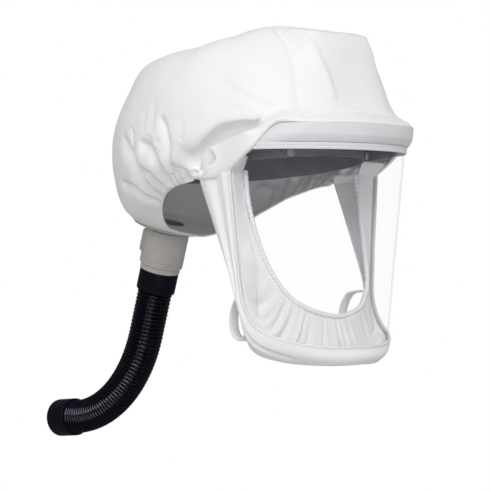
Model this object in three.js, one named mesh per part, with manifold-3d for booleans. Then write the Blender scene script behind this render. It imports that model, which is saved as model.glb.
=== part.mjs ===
// A powered-air respirator hood: a cloth crown on a headband, a clear visor under a stiff brow
// band, a cloth skirt and a gathered face seal round the visor, and an air inlet at the nape with
// the upper length of its hose. Millimetres, +Z up. The face looks along -Y, the wearer's left is
// +X, and the origin is the middle of the headband, where a head carries the hood.
import * as THREE from "three";
import { mergeVertices } from "three/addons/utils/BufferGeometryUtils.js";
import Module from "manifold-3d";

const wasm = await Module();
wasm.setup();

// Walls and clearances
const CLOTH = 1.5;
const FILM = 1.0;
const GAP = 0.35;

// Visor: a sheet bent to half an ellipse in plan, which narrows from the brow to the chin
const VISOR_TOP = { height: 20, halfWidth: 90, depth: 79, centreY: -60.5 };
const VISOR_FOOT = { height: -150, halfWidth: 74, depth: 56.5, centreY: -66 };
const VISOR_STEPS = { across: 30, down: 5 };

// Top edge of the visor, by the angle round its plan: level under the brow, cut away at the temples
const VISOR_EDGE = table(
  "angle height",
  [0, 24],
  [50, 24],
  [70, 13],
  [91, -8.5],
);

// Brow band: height over the visor's film, and how far it stands out from it
const BROW = table(
  "height inner outer endAngle",
  [12.5, 1.0, 2.4, 69],
  [18, 1.0, 5.2, 63],
  [28, 1.0, 5.6, 55],
);
const BROW_TAPER = { angle: 14, endAngle: 2 };
const BINDING = { low: 6.5, thickness: 1.2, endAngle: 72 };
const BAND_STEPS = 28;

// Crown: sections from the front (azimuth 0) to the back (180), the same on both sides. Each pair
// is a radius from the vertical axis and a height: the crest of the top, its edge, the upper side,
// the belly, the tuck under it, the roll of cloth below the tuck, and the hem.
const APEX = 109;
const CROWN = table(
  "azimuth crestR crestZ edgeR edgeZ upperR upperZ bellyR bellyZ tuckR tuckZ rollR rollZ hemR hemZ",
  [0, 70, 110, 103, 101, 112, 75, 121, 43, 127, 39, 137, 34, 144, 30],
  [17, 72, 110.5, 105, 101.5, 115.5, 76, 124, 44, 128, 39, 136, 34, 142, 30],
  [28, 62, 113, 82.5, 108, 108.5, 77, 121, 46, 126, 38.5, 133, 34, 138.5, 30],
  [34, 58, 112.5, 80, 107.5, 106.5, 78, 118.5, 47, 123.5, 37, 130, 33.5, 136.5, 30.8],
  [46, 55, 110.5, 78, 104.5, 101.5, 78, 114.5, 35, 110.5, 25.5, 125, 18, 126, 8],
  [60, 54, 106, 77, 99, 97, 76, 107, 32, 95.5, 20, 105.5, 2, 100, -12],
  [68, 54, 104.5, 78, 97, 96.5, 74, 105.5, 25, 94.5, 10.5, 101.5, -4, 95.5, -13.2],
  [76, 54, 103, 79, 95, 96, 72, 104, 19, 94, 0, 97, -9, 90, -14.2],
  [90, 55, 100, 80, 91, 96, 68, 104.5, 25, 101, -2, 91.5, -12, 84.5, -18],
  [110, 58, 98, 84, 89.5, 99, 66, 108, 27, 105, -8, 95, -20, 84.5, -25],
  [130, 62, 96, 90.5, 87.5, 105.5, 66, 117.5, 26, 112, -18, 100.5, -34, 84, -40],
  [150, 66, 95, 100.5, 86.5, 114.5, 65, 131, 23, 126.5, -25, 114.5, -44, 82, -55],
  [180, 70, 94, 109, 86.5, 121, 65, 146, 22, 145, -29, 131, -44, 74, -62],
);
const CROWN_ROWS = ["crest", "edge", "upper", "belly", "tuck", "roll", "hem"];
const CROWN_STEPS = [2, 4, 2, 3, 4, 3, 2];
const CROWN_COLUMNS = table("upTo steps", [17, 2], [34, 4], [66, 6], [134, 14], [180, 5]);

// Folds drawn into the crown on each side: where each starts and ends (azimuth, and row of the
// section counted from the apex), its half-width in degrees, and its depth. A fold is shallower at
// its two ends, and fades out beyond them.
const FOLDS = table(
  "fromAzimuth fromRow toAzimuth toRow spread depth",
  [122, 4.0, 117, 6.6, 5, 7],
  [108, 4.2, 101, 6.7, 4.5, 6],
  [93, 3.6, 95, 6.4, 4.5, 5],
  [136, 4.6, 122, 6.7, 5, 5],
  [156, 4.4, 148, 6.4, 5.5, 5],
  [22, 2.1, 12, 3.7, 4, 2],
);
const FOLD_FADE = { first: 0.15, last: 0.85, beyond: 9 };

// Skirt and face seal: stations from the temple to the middle of the chin, mirrored to the left.
// The edge is a point of the visor (angle round its plan, height), free is the skirt's loose edge,
// seal is the elastic edge against the face, and bulge and sag bow the two cloths.
const FACE = table(
  "edgeAngle edgeZ freeX freeY freeZ bulge sealX sealY sealZ sag",
  [91, -11, 85, -17, -16, 3, 67, -57, -9, 0],
  [91, -45, 83, -33, -52, 3, 67, -62, -40, 2],
  [91, -85, 79, -50, -92, 3, 62, -72, -77, 5],
  [89, -118, 74, -60, -126, 4, 54, -82, -101, 9],
  [78, -138, 67, -66, -155, 5, 44, -88, -114, 14],
  [58, -148, 54, -87, -165, 5, 32, -94, -122, 18],
  [30, -154, 30, -112, -168, 4, 16, -97.5, -127, 20],
  [0, -155, 0, -120, -168, 4, 0, -98.5, -129, 20],
);
const FACE_STEPS = 36;
const EDGE_SAMPLES = 400;
const SKIRT = { lap: 2.5, pastEdge: 1, across: 4, bowEnd: 0.85 };
const SEAL = { lap: 1.5, steps: 60, across: 5, gathers: 15, gatherDepth: 3, gatherSag: 12 };
const ELASTIC = { radius: 2, sides: 6, seat: 2.8 };

// Loop of cloth behind each lower corner of the skirt, as a ribbon round points in the side view
const LOOP = { innerX: 61, outerX: 71.3, thickness: 1.5, steps: 20 };
const LOOP_ROUTE = table(
  "y z",
  [-62, -110],
  [-51, -113],
  [-43, -127],
  [-45, -143],
  [-54, -148],
  [-63, -140],
);

// Headband, its studs, and the arms that carry the brow on it
const HEADBAND = { halfWidth: 78, halfLength: 99, centreY: -4, height: 23, thickness: 2, steps: 48 };
const HEADBAND_FOOT = { front: 3, back: -14 };
const STUD = { x: 45, height: 4, radius: 3.5, depth: 2.2, sides: 16 };
const ARM = { height: 15, thickness: 2, visorAngle: 66.5, visorHeight: 14, bandAngle: 72, steps: 5 };

// Air inlet: its axis leans back from the vertical at the nape; lengths run down it from the cloth
const INLET = { y: 112, z: -50, lean: 17.7, bore: 14, holeDepth: 20, sides: 28 };
const FLANGE = { radius: 33, thickness: 2.5, bore: 15.5, flatCloth: 36, blend: 15, reach: 30 };
const SOCKET = table(
  "from radius",
  [0, 18.5],
  [4, 18.5],
  [4, 20],
  [33, 20],
  [35, 18.5],
  [35, 18],
  [42, 18],
);
const BUTTON = { width: 20, height: 22, from: 8, inner: 18.6, outer: 23, floor: 16.2 };

// Hose: a straight stretch below the cuff, then one bend towards the back, and a plain cuff
const HOSE = { radius: 16, straight: 42, bendRadius: 122, endLean: 84, sides: 12, steps: 14 };
const CUFF = { radius: 17.9, length: 20, chamfer: 1.5 };
const END_CUFF = { radius: 18, length: 24, wall: 3, depth: 18 };

const white = finish(0xf1f1f2, 0.9);
const browWhite = finish(0xe6e5ea, 0.85);
const clear = finish(0xe8eef2, 0.1);
const bandGrey = finish(0x4d4c52, 0.7);
const armGrey = finish(0x6d6a78, 0.6);
const studGrey = finish(0x9a9aa2, 0.5);
const inletGrey = finish(0x96938f, 0.55);
const buttonGrey = finish(0x8b8884, 0.5);
const black = finish(0x18161b, 0.45);

function finish(color, roughness) {
  return new THREE.MeshStandardMaterial({ color, roughness, metalness: 0 });
}

// A table as objects: the first argument names the columns
function table(columns, ...rows) {
  const names = columns.split(" ");
  return rows.map((row) => Object.fromEntries(row.map((value, i) => [names[i], value])));
}

function radians(degrees) {
  return THREE.MathUtils.degToRad(degrees);
}

function range(count, value) {
  return Array.from({ length: count }, (_, i) => value(i));
}

// One column of a table at any place along its key column: smooth, with no overshoot, and level at
// both ends so that mirrored halves join without a crease
function lookUp(rows, key, place, column) {
  const last = rows.length - 1;
  const x = THREE.MathUtils.clamp(place, rows[0][key], rows[last][key]);
  let i = 0;
  while (i < last - 1 && x > rows[i + 1][key]) {
    i += 1;
  }
  const slope = (k) => (rows[k + 1][column] - rows[k][column]) / (rows[k + 1][key] - rows[k][key]);
  const tangent = (k) => {
    if (k === 0 || k === last || slope(k - 1) * slope(k) <= 0) {
      return 0;
    }
    return (2 * slope(k - 1) * slope(k)) / (slope(k - 1) + slope(k));
  };
  const width = rows[i + 1][key] - rows[i][key];
  const s = (x - rows[i][key]) / width;
  const rise = s * s * (3 - 2 * s);
  return rows[i][column] * (1 - rise) + rows[i + 1][column] * rise
    + width * s * (1 - s) * (tangent(i) * (1 - s) - tangent(i + 1) * s);
}

// Solids from points

// A closed body from a vertex list and triangles, turned to face outwards
function body(points, triangles) {
  let volume = 0;
  for (const [a, b, c] of triangles) {
    volume += points[a].dot(new THREE.Vector3().crossVectors(points[b], points[c]));
  }
  const outward = volume < 0 ? triangles.map(([a, b, c]) => [a, c, b]) : triangles;
  const geometry = new THREE.BufferGeometry();
  const numbers = points.flatMap((p) => p.toArray());
  geometry.setAttribute("position", new THREE.Float32BufferAttribute(numbers, 3));
  geometry.setIndex(outward.flat());
  return geometry;
}

// A wall of cloth or film: rows of points on its outer face, thickened along the normals. A looped
// wall closes on itself along each row; a domed one starts at a single point.
function wall(rows, thickness, { looped = false, domed = false } = {}) {
  const last = { row: rows.length - 1, column: rows[0].length - 1 };
  const width = rows[0].length;
  const column = (j) => (looped ? (j + width) % width : THREE.MathUtils.clamp(j, 0, last.column));
  const at = (i, j) => rows[THREE.MathUtils.clamp(i, 0, last.row)][column(j)];
  const normal = (i, j) => {
    if (domed && i === 0) {
      return new THREE.Vector3(0, 0, 1);
    }
    const down = at(i + 1, j).clone().sub(at(i - 1, j));
    const along = at(i, j + 1).clone().sub(at(i, j - 1));
    return down.cross(along).normalize();
  };
  const outer = rows.map((row) => row.map((p) => p.clone()));
  const inset = (p, i, j) => p.clone().addScaledVector(normal(i, j), -thickness);
  const inner = rows.map((row, i) => row.map((p, j) => inset(p, i, j)));
  const points = [...outer.flat(), ...inner.flat()];
  const skin = rows.length * width;
  const id = (i, j, side) => (domed && i === 0 ? 0 : i * width + column(j)) + side * skin;
  const triangles = [];
  const quad = (a, b, c, d) => {
    triangles.push([a, b, c], [a, c, d]);
  };
  const spans = looped ? width : width - 1;
  for (let i = 0; i < last.row; i += 1) {
    for (let j = 0; j < spans; j += 1) {
      quad(id(i, j, 0), id(i + 1, j, 0), id(i + 1, j + 1, 0), id(i, j + 1, 0));
      quad(id(i, j, 1), id(i, j + 1, 1), id(i + 1, j + 1, 1), id(i + 1, j, 1));
    }
    if (!looped) {
      quad(id(i, 0, 0), id(i, 0, 1), id(i + 1, 0, 1), id(i + 1, 0, 0));
      quad(id(i, spans, 1), id(i, spans, 0), id(i + 1, spans, 0), id(i + 1, spans, 1));
    }
  }
  for (let j = 0; j < spans; j += 1) {
    quad(id(last.row, j, 0), id(last.row, j, 1), id(last.row, j + 1, 1), id(last.row, j + 1, 0));
    if (!domed) {
      quad(id(0, j, 1), id(0, j, 0), id(0, j + 1, 0), id(0, j + 1, 1));
    }
  }
  const distinct = triangles.filter(([a, b, c]) => a !== b && b !== c && a !== c);
  return tidy(body(points, distinct));
}

// A bar or ring through a row of closed convex sections
function loft(sections, looped = false) {
  const sides = sections[0].length;
  const points = sections.flat();
  const triangles = [];
  const id = (i, j) => (i % sections.length) * sides + (j % sides);
  const spans = looped ? sections.length : sections.length - 1;
  for (let i = 0; i < spans; i += 1) {
    for (let j = 0; j < sides; j += 1) {
      triangles.push([id(i, j), id(i + 1, j), id(i + 1, j + 1)]);
      triangles.push([id(i, j), id(i + 1, j + 1), id(i, j + 1)]);
    }
  }
  for (let j = 1; j < sides - 1 && !looped; j += 1) {
    triangles.push([id(0, 0), id(0, j), id(0, j + 1)]);
    triangles.push([id(spans, 0), id(spans, j + 1), id(spans, j)]);
  }
  return body(points, triangles);
}

// Vertices that no face uses are dropped by a non-indexed round trip
function tidy(geometry) {
  return mergeVertices(geometry.index ? geometry.toNonIndexed() : geometry, 1e-4);
}

function manifoldOf(geometry) {
  const bare = geometry.clone();
  bare.deleteAttribute("normal");
  bare.deleteAttribute("uv");
  const merged = mergeVertices(bare, 1e-4);
  return new wasm.Manifold(new wasm.Mesh({
    numProp: 3,
    vertProperties: new Float32Array(merged.attributes.position.array),
    triVerts: new Uint32Array(merged.index.array),
  }));
}

function cut(geometry, tool) {
  const mesh = manifoldOf(geometry).subtract(manifoldOf(tool)).getMesh();
  const result = new THREE.BufferGeometry();
  result.setAttribute("position", new THREE.BufferAttribute(new Float32Array(mesh.vertProperties), 3));
  result.setIndex(new THREE.BufferAttribute(new Uint32Array(mesh.triVerts), 1));
  return result;
}

// A turned piece from its closed outline of [radius, height] pairs
function turned(outline, sides) {
  const closed = [...outline, outline[0]].map(([radius, height]) => new THREE.Vector2(radius, height));
  const lathe = new THREE.LatheGeometry(closed, sides);
  lathe.deleteAttribute("normal");
  lathe.deleteAttribute("uv");
  return mergeVertices(lathe, 1e-4).rotateX(Math.PI / 2);
}

const hood = new THREE.Group();
hood.name = "respirator_hood";

function add(name, geometry, material, parent = hood) {
  const mesh = new THREE.Mesh(geometry, material);
  mesh.name = name;
  parent.add(mesh);
  return mesh;
}

// Visor

function visorPlan(height) {
  const t = (VISOR_TOP.height - height) / (VISOR_TOP.height - VISOR_FOOT.height);
  const mix = (key) => VISOR_TOP[key] + (VISOR_FOOT[key] - VISOR_TOP[key]) * t;
  return { halfWidth: mix("halfWidth"), depth: mix("depth"), centreY: mix("centreY") };
}

// A point by the angle round the plan (positive on the wearer's right), height and distance outside
function visorPoint(angle, height, outside = 0) {
  const { halfWidth, depth, centreY } = visorPlan(height);
  const turn = radians(angle);
  return new THREE.Vector3(
    -(halfWidth + outside) * Math.sin(turn),
    centreY - (depth + outside) * Math.cos(turn),
    height,
  );
}

// The stations of the skirt and the seal, from the right temple round the chin to the left one
const mirrored = [...FACE, ...FACE.slice(0, -1).reverse().map((row) => ({
  ...row,
  edgeAngle: -row.edgeAngle,
  freeX: -row.freeX,
  sealX: -row.sealX,
}))];
const edgeCurve = new THREE.CatmullRomCurve3(
  mirrored.map((row) => new THREE.Vector3(row.edgeAngle, row.edgeZ, 0)), false, "catmullrom", 0.5);
const freeCurve = new THREE.CatmullRomCurve3(
  mirrored.map((row) => new THREE.Vector3(-row.freeX, row.freeY, row.freeZ)), false, "catmullrom", 0.5);
const sealCurve = new THREE.CatmullRomCurve3(
  mirrored.map((row) => new THREE.Vector3(-row.sealX, row.sealY, row.sealZ)), false, "catmullrom", 0.5);
const bowCurve = new THREE.CatmullRomCurve3(
  mirrored.map((row) => new THREE.Vector3(row.bulge, row.sag, 0)), false, "catmullrom", 0.5);

// A point of the visor near its edge at a station: inset runs along the film towards its middle
function nearEdge(t, inset, outside) {
  const millimetres = visorPlan(0).halfWidth * radians(1);
  const edge = edgeCurve.getPoint(t);
  const run = edgeCurve.getTangent(t);
  const inward = new THREE.Vector2(run.y, -run.x * millimetres).normalize();
  return visorPoint(edge.x + (inward.x * inset) / millimetres, edge.y + inward.y * inset, outside);
}

// The lower edge of the visor, from one lower corner to the other
const lowerEdge = range(EDGE_SAMPLES + 1, (i) => edgeCurve.getPoint(i / EDGE_SAMPLES))
  .filter((p) => Math.abs(p.x) <= FACE[0].edgeAngle && p.y < FACE[3].edgeZ);

function visorFoot(angle) {
  const away = (p) => Math.abs(p.x - angle);
  return lowerEdge.reduce((best, p) => (away(p) < away(best) ? p : best)).y;
}

function visorSheet() {
  const widest = FACE[0].edgeAngle;
  return wall(range(VISOR_STEPS.down + 1, (i) => range(VISOR_STEPS.across + 1, (j) => {
    const angle = widest * (1 - (2 * j) / VISOR_STEPS.across);
    const top = lookUp(VISOR_EDGE, "angle", Math.abs(angle), "height");
    const height = THREE.MathUtils.lerp(top, visorFoot(angle), i / VISOR_STEPS.down);
    return visorPoint(angle, height, FILM);
  })), FILM);
}

add("visor", visorSheet(), clear);

// Brow band and the binding under it

function browBand() {
  return loft(range(BAND_STEPS + 1, (i) => {
    const share = 1 - (2 * i) / BAND_STEPS;
    const corner = (row, outside) => visorPoint(share * row.endAngle, row.height, outside + FILM);
    const outer = BROW.map((row) => {
      const fromEnd = row.endAngle * (1 - Math.abs(share)) + BROW_TAPER.endAngle;
      const fade = Math.min(1, fromEnd / BROW_TAPER.angle);
      return corner(row, GAP + row.inner + (row.outer - row.inner) * fade);
    });
    const inner = BROW.map((row) => corner(row, GAP)).reverse();
    return [...outer, ...inner];
  }));
}

function binding() {
  const high = BROW[0].height - GAP;
  return loft(range(BAND_STEPS + 1, (i) => {
    const angle = BINDING.endAngle * (1 - (2 * i) / BAND_STEPS);
    const near = FILM + GAP;
    const far = near + BINDING.thickness;
    return [
      visorPoint(angle, BINDING.low, near),
      visorPoint(angle, BINDING.low, far),
      visorPoint(angle, high, far),
      visorPoint(angle, high, near),
    ];
  }));
}

add("brow_band", browBand(), browWhite);
add("visor_binding", binding(), white);

// Crown

const lean = radians(INLET.lean);
const inletSeat = new THREE.Vector3(0, INLET.y, INLET.z);
const inletAxis = new THREE.Vector3(0, Math.sin(lean), -Math.cos(lean));

// The section at one azimuth, as a curve of (radius, height)
function crownSection(azimuth) {
  const points = CROWN_ROWS.map((name) => new THREE.Vector3(
    lookUp(CROWN, "azimuth", Math.abs(azimuth), `${name}R`),
    lookUp(CROWN, "azimuth", Math.abs(azimuth), `${name}Z`),
    0,
  ));
  return new THREE.CatmullRomCurve3([new THREE.Vector3(0, APEX, 0), ...points], false, "centripetal");
}

// How deep the folds are at a place on the crown
function foldDepth(azimuth, row) {
  return FOLDS.reduce((sum, fold) => {
    const s = THREE.MathUtils.clamp((row - fold.fromRow) / (fold.toRow - fold.fromRow), 0, 1);
    const middle = THREE.MathUtils.lerp(fold.fromAzimuth, fold.toAzimuth, s);
    const across = (Math.abs(azimuth) - middle) / fold.spread;
    const beyond = Math.max(fold.fromRow - row, row - fold.toRow, 0);
    const swell = Math.sin(Math.PI * THREE.MathUtils.lerp(FOLD_FADE.first, FOLD_FADE.last, s));
    const fade = swell * Math.exp(-FOLD_FADE.beyond * beyond * beyond);
    return sum + fold.depth * fade * Math.exp(-across * across);
  }, 0);
}

// The cloth lies flat where the inlet's flange clamps it
function flattened(point) {
  const offset = point.clone().sub(inletSeat);
  const along = offset.dot(inletAxis);
  const radial = offset.addScaledVector(inletAxis, -along).length();
  if (Math.abs(along) > FLANGE.reach) {
    return point;
  }
  const share = 1 - THREE.MathUtils.smoothstep(radial, FLANGE.flatCloth, FLANGE.flatCloth + FLANGE.blend);
  return point.clone().addScaledVector(inletAxis, -along * share);
}

function crownShell() {
  const half = [0];
  for (const { upTo, steps } of CROWN_COLUMNS) {
    const from = half[half.length - 1];
    half.push(...range(steps, (i) => from + ((upTo - from) * (i + 1)) / steps));
  }
  const azimuths = [...half.map((azimuth) => -azimuth), ...half.slice(1, -1).reverse()];
  const places = [0];
  CROWN_STEPS.forEach((steps, k) => places.push(...range(steps, (i) => k + (i + 1) / steps)));
  const rows = places.map((row) => azimuths.map((azimuth) => {
    const section = crownSection(azimuth);
    const t = row / CROWN_STEPS.length;
    const place = section.getPoint(t);
    const run = section.getTangent(t);
    const depth = foldDepth(azimuth, row);
    const radius = place.x + run.y * depth;
    const height = place.y - run.x * depth;
    const turn = radians(azimuth);
    return flattened(new THREE.Vector3(-radius * Math.sin(turn), -radius * Math.cos(turn), height));
  }));
  return wall(rows, CLOTH, { looped: true, domed: true });
}

function inletPlaced(geometry) {
  return geometry.rotateX(lean).translate(inletSeat.x, inletSeat.y, inletSeat.z);
}

function ductHole() {
  return new THREE.CylinderGeometry(INLET.bore, INLET.bore, INLET.holeDepth, INLET.sides)
    .rotateX(Math.PI / 2);
}

add("crown", cut(crownShell(), inletPlaced(ductHole())), white);

// Skirt round the visor

function skirt() {
  const rows = range(FACE_STEPS + 1, (i) => {
    const t = 1 - i / FACE_STEPS;
    const near = FILM + GAP + CLOTH;
    const lap = nearEdge(t, SKIRT.lap, near);
    const edge = nearEdge(t, -SKIRT.pastEdge, near);
    const free = freeCurve.getPoint(t);
    const middle = edge.clone().lerp(free, 0.5);
    const out = new THREE.Vector3(middle.x, middle.y - visorPlan(0).centreY, 0).normalize();
    const bow = out.multiplyScalar(bowCurve.getPoint(t).x);
    const across = range(SKIRT.across, (k) => {
      const s = (k + 1) / SKIRT.across;
      return edge.clone().lerp(free, s).addScaledVector(bow, Math.sin(Math.PI * s * SKIRT.bowEnd));
    });
    return [lap, edge, ...across];
  });
  return wall(rows, CLOTH);
}

add("cheek_skirt", skirt(), white);

// Face seal and its elastic

function faceSeal() {
  const rows = range(SEAL.steps + 1, (i) => {
    const t = i / SEAL.steps;
    const outer = nearEdge(t, SEAL.lap, -2 * GAP - CLOTH);
    const face = sealCurve.getPoint(t);
    const inner = face.clone().add(outer.clone().sub(face).setLength(ELASTIC.seat));
    const sag = bowCurve.getPoint(t).y;
    const depth = SEAL.gatherDepth * Math.min(1, sag / SEAL.gatherSag);
    const gather = depth * Math.cos(2 * Math.PI * SEAL.gathers * t);
    return range(SEAL.across + 1, (k) => {
      const s = k / SEAL.across;
      const drop = sag * Math.sin(Math.PI * s) - gather * Math.sin(Math.PI * s) * s;
      return outer.clone().lerp(inner, s).add(new THREE.Vector3(0, 0, -drop));
    });
  });
  return wall(rows, CLOTH);
}

function faceElastic() {
  const section = range(ELASTIC.sides, (k) => {
    const turn = (2 * Math.PI * k) / ELASTIC.sides;
    return new THREE.Vector2(ELASTIC.radius * Math.cos(turn), ELASTIC.radius * Math.sin(turn));
  });
  return tidy(new THREE.ExtrudeGeometry(new THREE.Shape(section), {
    steps: FACE_STEPS,
    bevelEnabled: false,
    extrudePath: sealCurve,
  }).deleteAttribute("normal").deleteAttribute("uv"));
}

add("face_seal", faceSeal(), white);
add("face_elastic", faceElastic(), white);

// Loops of cloth behind the skirt's lower corners

function skirtLoop(side) {
  const route = new THREE.CatmullRomCurve3(LOOP_ROUTE.map(({ y, z }) => new THREE.Vector3(0, y, z)));
  return loft(range(LOOP.steps + 1, (i) => {
    const centre = route.getPoint(i / LOOP.steps);
    const run = route.getTangent(i / LOOP.steps);
    const half = new THREE.Vector3(0, -run.z, run.y).multiplyScalar(LOOP.thickness / 2);
    const corner = (x, sign) => centre.clone().setX(side * x).addScaledVector(half, sign);
    return [
      corner(LOOP.innerX, 1),
      corner(LOOP.outerX, 1),
      corner(LOOP.outerX, -1),
      corner(LOOP.innerX, -1),
    ];
  }));
}

add("skirt_loop_right", skirtLoop(-1), white);
add("skirt_loop_left", skirtLoop(1), white);

// Headband, studs and arms

function bandPoint(angle, height, outside) {
  const turn = radians(angle);
  const x = -(HEADBAND.halfWidth + outside) * Math.sin(turn);
  const y = HEADBAND.centreY - (HEADBAND.halfLength + outside) * Math.cos(turn);
  const foot = THREE.MathUtils.lerp(HEADBAND_FOOT.back, HEADBAND_FOOT.front, (1 + Math.cos(turn)) / 2);
  return new THREE.Vector3(x, y, foot + height);
}

function headband() {
  return loft(range(HEADBAND.steps, (i) => {
    const angle = (360 * i) / HEADBAND.steps;
    return [
      bandPoint(angle, 0, 0),
      bandPoint(angle, 0, HEADBAND.thickness),
      bandPoint(angle, HEADBAND.height, HEADBAND.thickness),
      bandPoint(angle, HEADBAND.height, 0),
    ];
  }), true);
}

function bandStud(side) {
  const outer = HEADBAND.halfWidth + HEADBAND.thickness;
  const angle = THREE.MathUtils.radToDeg(Math.asin((-side * STUD.x) / outer));
  const seat = bandPoint(angle, STUD.height, HEADBAND.thickness + GAP);
  const ahead = bandPoint(angle, STUD.height, HEADBAND.thickness + GAP + STUD.depth);
  const turn = Math.atan2(ahead.y - seat.y, ahead.x - seat.x);
  return new THREE.CylinderGeometry(STUD.radius, STUD.radius, STUD.depth, STUD.sides)
    .rotateZ(Math.PI / 2)
    .translate(STUD.depth / 2 + GAP, 0, 0)
    .rotateZ(turn)
    .translate(seat.x, seat.y, seat.z);
}

function harnessArm(side) {
  const front = visorPoint(-side * ARM.visorAngle, ARM.visorHeight, -GAP - ARM.thickness);
  const back = bandPoint(-side * ARM.bandAngle, HEADBAND.height / 2, HEADBAND.thickness + GAP);
  const run = back.clone().sub(front).setZ(0).normalize();
  const out = new THREE.Vector3(run.y, -run.x, 0).multiplyScalar(side * ARM.thickness);
  const up = new THREE.Vector3(0, 0, ARM.height / 2);
  return loft(range(ARM.steps + 1, (i) => {
    const centre = front.clone().lerp(back, i / ARM.steps);
    return [
      centre.clone().sub(up),
      centre.clone().sub(up).add(out),
      centre.clone().add(up).add(out),
      centre.clone().add(up),
    ];
  }));
}

add("headband", headband(), bandGrey);
for (const [name, side] of [["right", -1], ["left", 1]]) {
  add(`band_stud_${name}`, bandStud(side), studGrey);
  add(`harness_arm_${name}`, harnessArm(side), armGrey);
}

// Air inlet: flange, socket and button, drawn with the axis upright and then leaned

function flange() {
  const top = -GAP;
  const foot = top - FLANGE.thickness;
  return turned([
    [FLANGE.bore, foot],
    [FLANGE.radius, foot],
    [FLANGE.radius, top],
    [FLANGE.bore, top],
  ], INLET.sides);
}

const socketTop = -FLANGE.thickness - 2 * GAP;
const buttonMiddle = socketTop - BUTTON.from - BUTTON.height / 2;

function box(width, depthFrom, depthTo, height, middle) {
  return new THREE.BoxGeometry(width, depthTo - depthFrom, height)
    .translate(0, (depthFrom + depthTo) / 2, middle);
}

function socket() {
  const outside = SOCKET.map(({ from, radius }) => [radius, socketTop - from]).reverse();
  const foot = socketTop - SOCKET[SOCKET.length - 1].from;
  const ring = turned([[INLET.bore, foot], ...outside, [INLET.bore, socketTop]], INLET.sides);
  const width = BUTTON.width + 2 * GAP;
  const height = BUTTON.height + 2 * GAP;
  return cut(ring, box(width, BUTTON.floor, 2 * BUTTON.outer, height, buttonMiddle));
}

function button() {
  return box(BUTTON.width, BUTTON.inner, BUTTON.outer, BUTTON.height, buttonMiddle);
}

const cuffTop = socketTop - SOCKET[SOCKET.length - 1].from - GAP;

function cuff() {
  const foot = cuffTop - CUFF.length;
  return turned([
    [INLET.bore, foot],
    [CUFF.radius - CUFF.chamfer, foot],
    [CUFF.radius, foot + CUFF.chamfer],
    [CUFF.radius, cuffTop],
    [INLET.bore, cuffTop],
  ], INLET.sides);
}

add("inlet_flange", inletPlaced(flange()), inletGrey);
add("inlet_socket", inletPlaced(socket()), inletGrey);
add("release_button", inletPlaced(button()), buttonGrey);
add("hose_cuff", inletPlaced(cuff()), black);

// Hose

const hoseStart = inletSeat.clone().addScaledVector(inletAxis, CUFF.length + GAP - cuffTop);

// The middle line of the hose: straight along the inlet's axis, then an arc in the same plane
class HoseRoute extends THREE.Curve {
  getPoint(t) {
    const bend = HOSE.bendRadius * radians(HOSE.endLean - INLET.lean);
    const run = t * (HOSE.straight + bend);
    const turned = lean + Math.max(0, run - HOSE.straight) / HOSE.bendRadius;
    return hoseStart.clone()
      .addScaledVector(inletAxis, Math.min(run, HOSE.straight))
      .add(new THREE.Vector3(
        0,
        HOSE.bendRadius * (Math.cos(lean) - Math.cos(turned)),
        HOSE.bendRadius * (Math.sin(lean) - Math.sin(turned)),
      ));
  }
}

const hoseRoute = new HoseRoute();

function hose() {
  const section = range(HOSE.sides, (k) => {
    const turn = (2 * Math.PI * k) / HOSE.sides;
    return new THREE.Vector2(HOSE.radius * Math.cos(turn), HOSE.radius * Math.sin(turn));
  });
  return tidy(new THREE.ExtrudeGeometry(new THREE.Shape(section), {
    steps: HOSE.steps,
    bevelEnabled: false,
    extrudePath: hoseRoute,
  }).deleteAttribute("normal").deleteAttribute("uv"));
}

function endCuff() {
  const { radius, length, wall: thickness, depth } = END_CUFF;
  const bore = radius - thickness;
  const end = hoseRoute.getPoint(1).addScaledVector(hoseRoute.getTangent(1), GAP);
  return turned([
    [0, depth - length],
    [bore, depth - length],
    [bore, -length],
    [radius, -length],
    [radius, 0],
    [0, 0],
  ], INLET.sides)
    .rotateX(radians(HOSE.endLean))
    .translate(end.x, end.y, end.z);
}

add("hose", hose(), black);
add("hose_end_cuff", endCuff(), black);

export default hood;
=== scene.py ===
import math

import bmesh
import bpy
import numpy as np
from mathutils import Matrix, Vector, noise


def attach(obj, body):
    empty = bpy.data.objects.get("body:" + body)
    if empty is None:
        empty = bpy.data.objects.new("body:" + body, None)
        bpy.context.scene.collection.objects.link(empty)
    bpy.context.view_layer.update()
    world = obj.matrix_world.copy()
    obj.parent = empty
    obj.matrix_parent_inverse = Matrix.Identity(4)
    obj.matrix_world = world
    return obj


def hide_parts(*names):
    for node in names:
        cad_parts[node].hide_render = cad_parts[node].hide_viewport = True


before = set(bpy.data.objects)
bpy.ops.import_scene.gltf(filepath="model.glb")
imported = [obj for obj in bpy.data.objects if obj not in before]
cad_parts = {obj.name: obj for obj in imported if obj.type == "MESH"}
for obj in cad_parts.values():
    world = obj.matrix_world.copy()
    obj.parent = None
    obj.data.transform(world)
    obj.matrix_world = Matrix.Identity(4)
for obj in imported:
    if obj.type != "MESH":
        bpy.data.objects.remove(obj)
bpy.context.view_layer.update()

# Studio: a plain white floor and white light from all round, with one large soft lamp above the
# visor and weaker ones low in front, at both sides and behind. The camera is level with the visor.
TO_CAMERA = Vector((-0.695, -0.719, 0.0))
ACROSS_VIEW = Vector((0.719, -0.695, 0.0))
CAMERA = {"distance": 1.5, "across": -0.0087, "height": -0.070, "lens": 126.8}
FLOOR = {"height": -0.30, "half": 30.0, "colour": (0.62, 0.62, 0.63, 1.0), "roughness": 0.9}
SKY = {"colour": (1.0, 1.0, 1.0, 1.0), "seen": 1.0, "cast": 0.44, "mirrored": 0.10}
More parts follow.
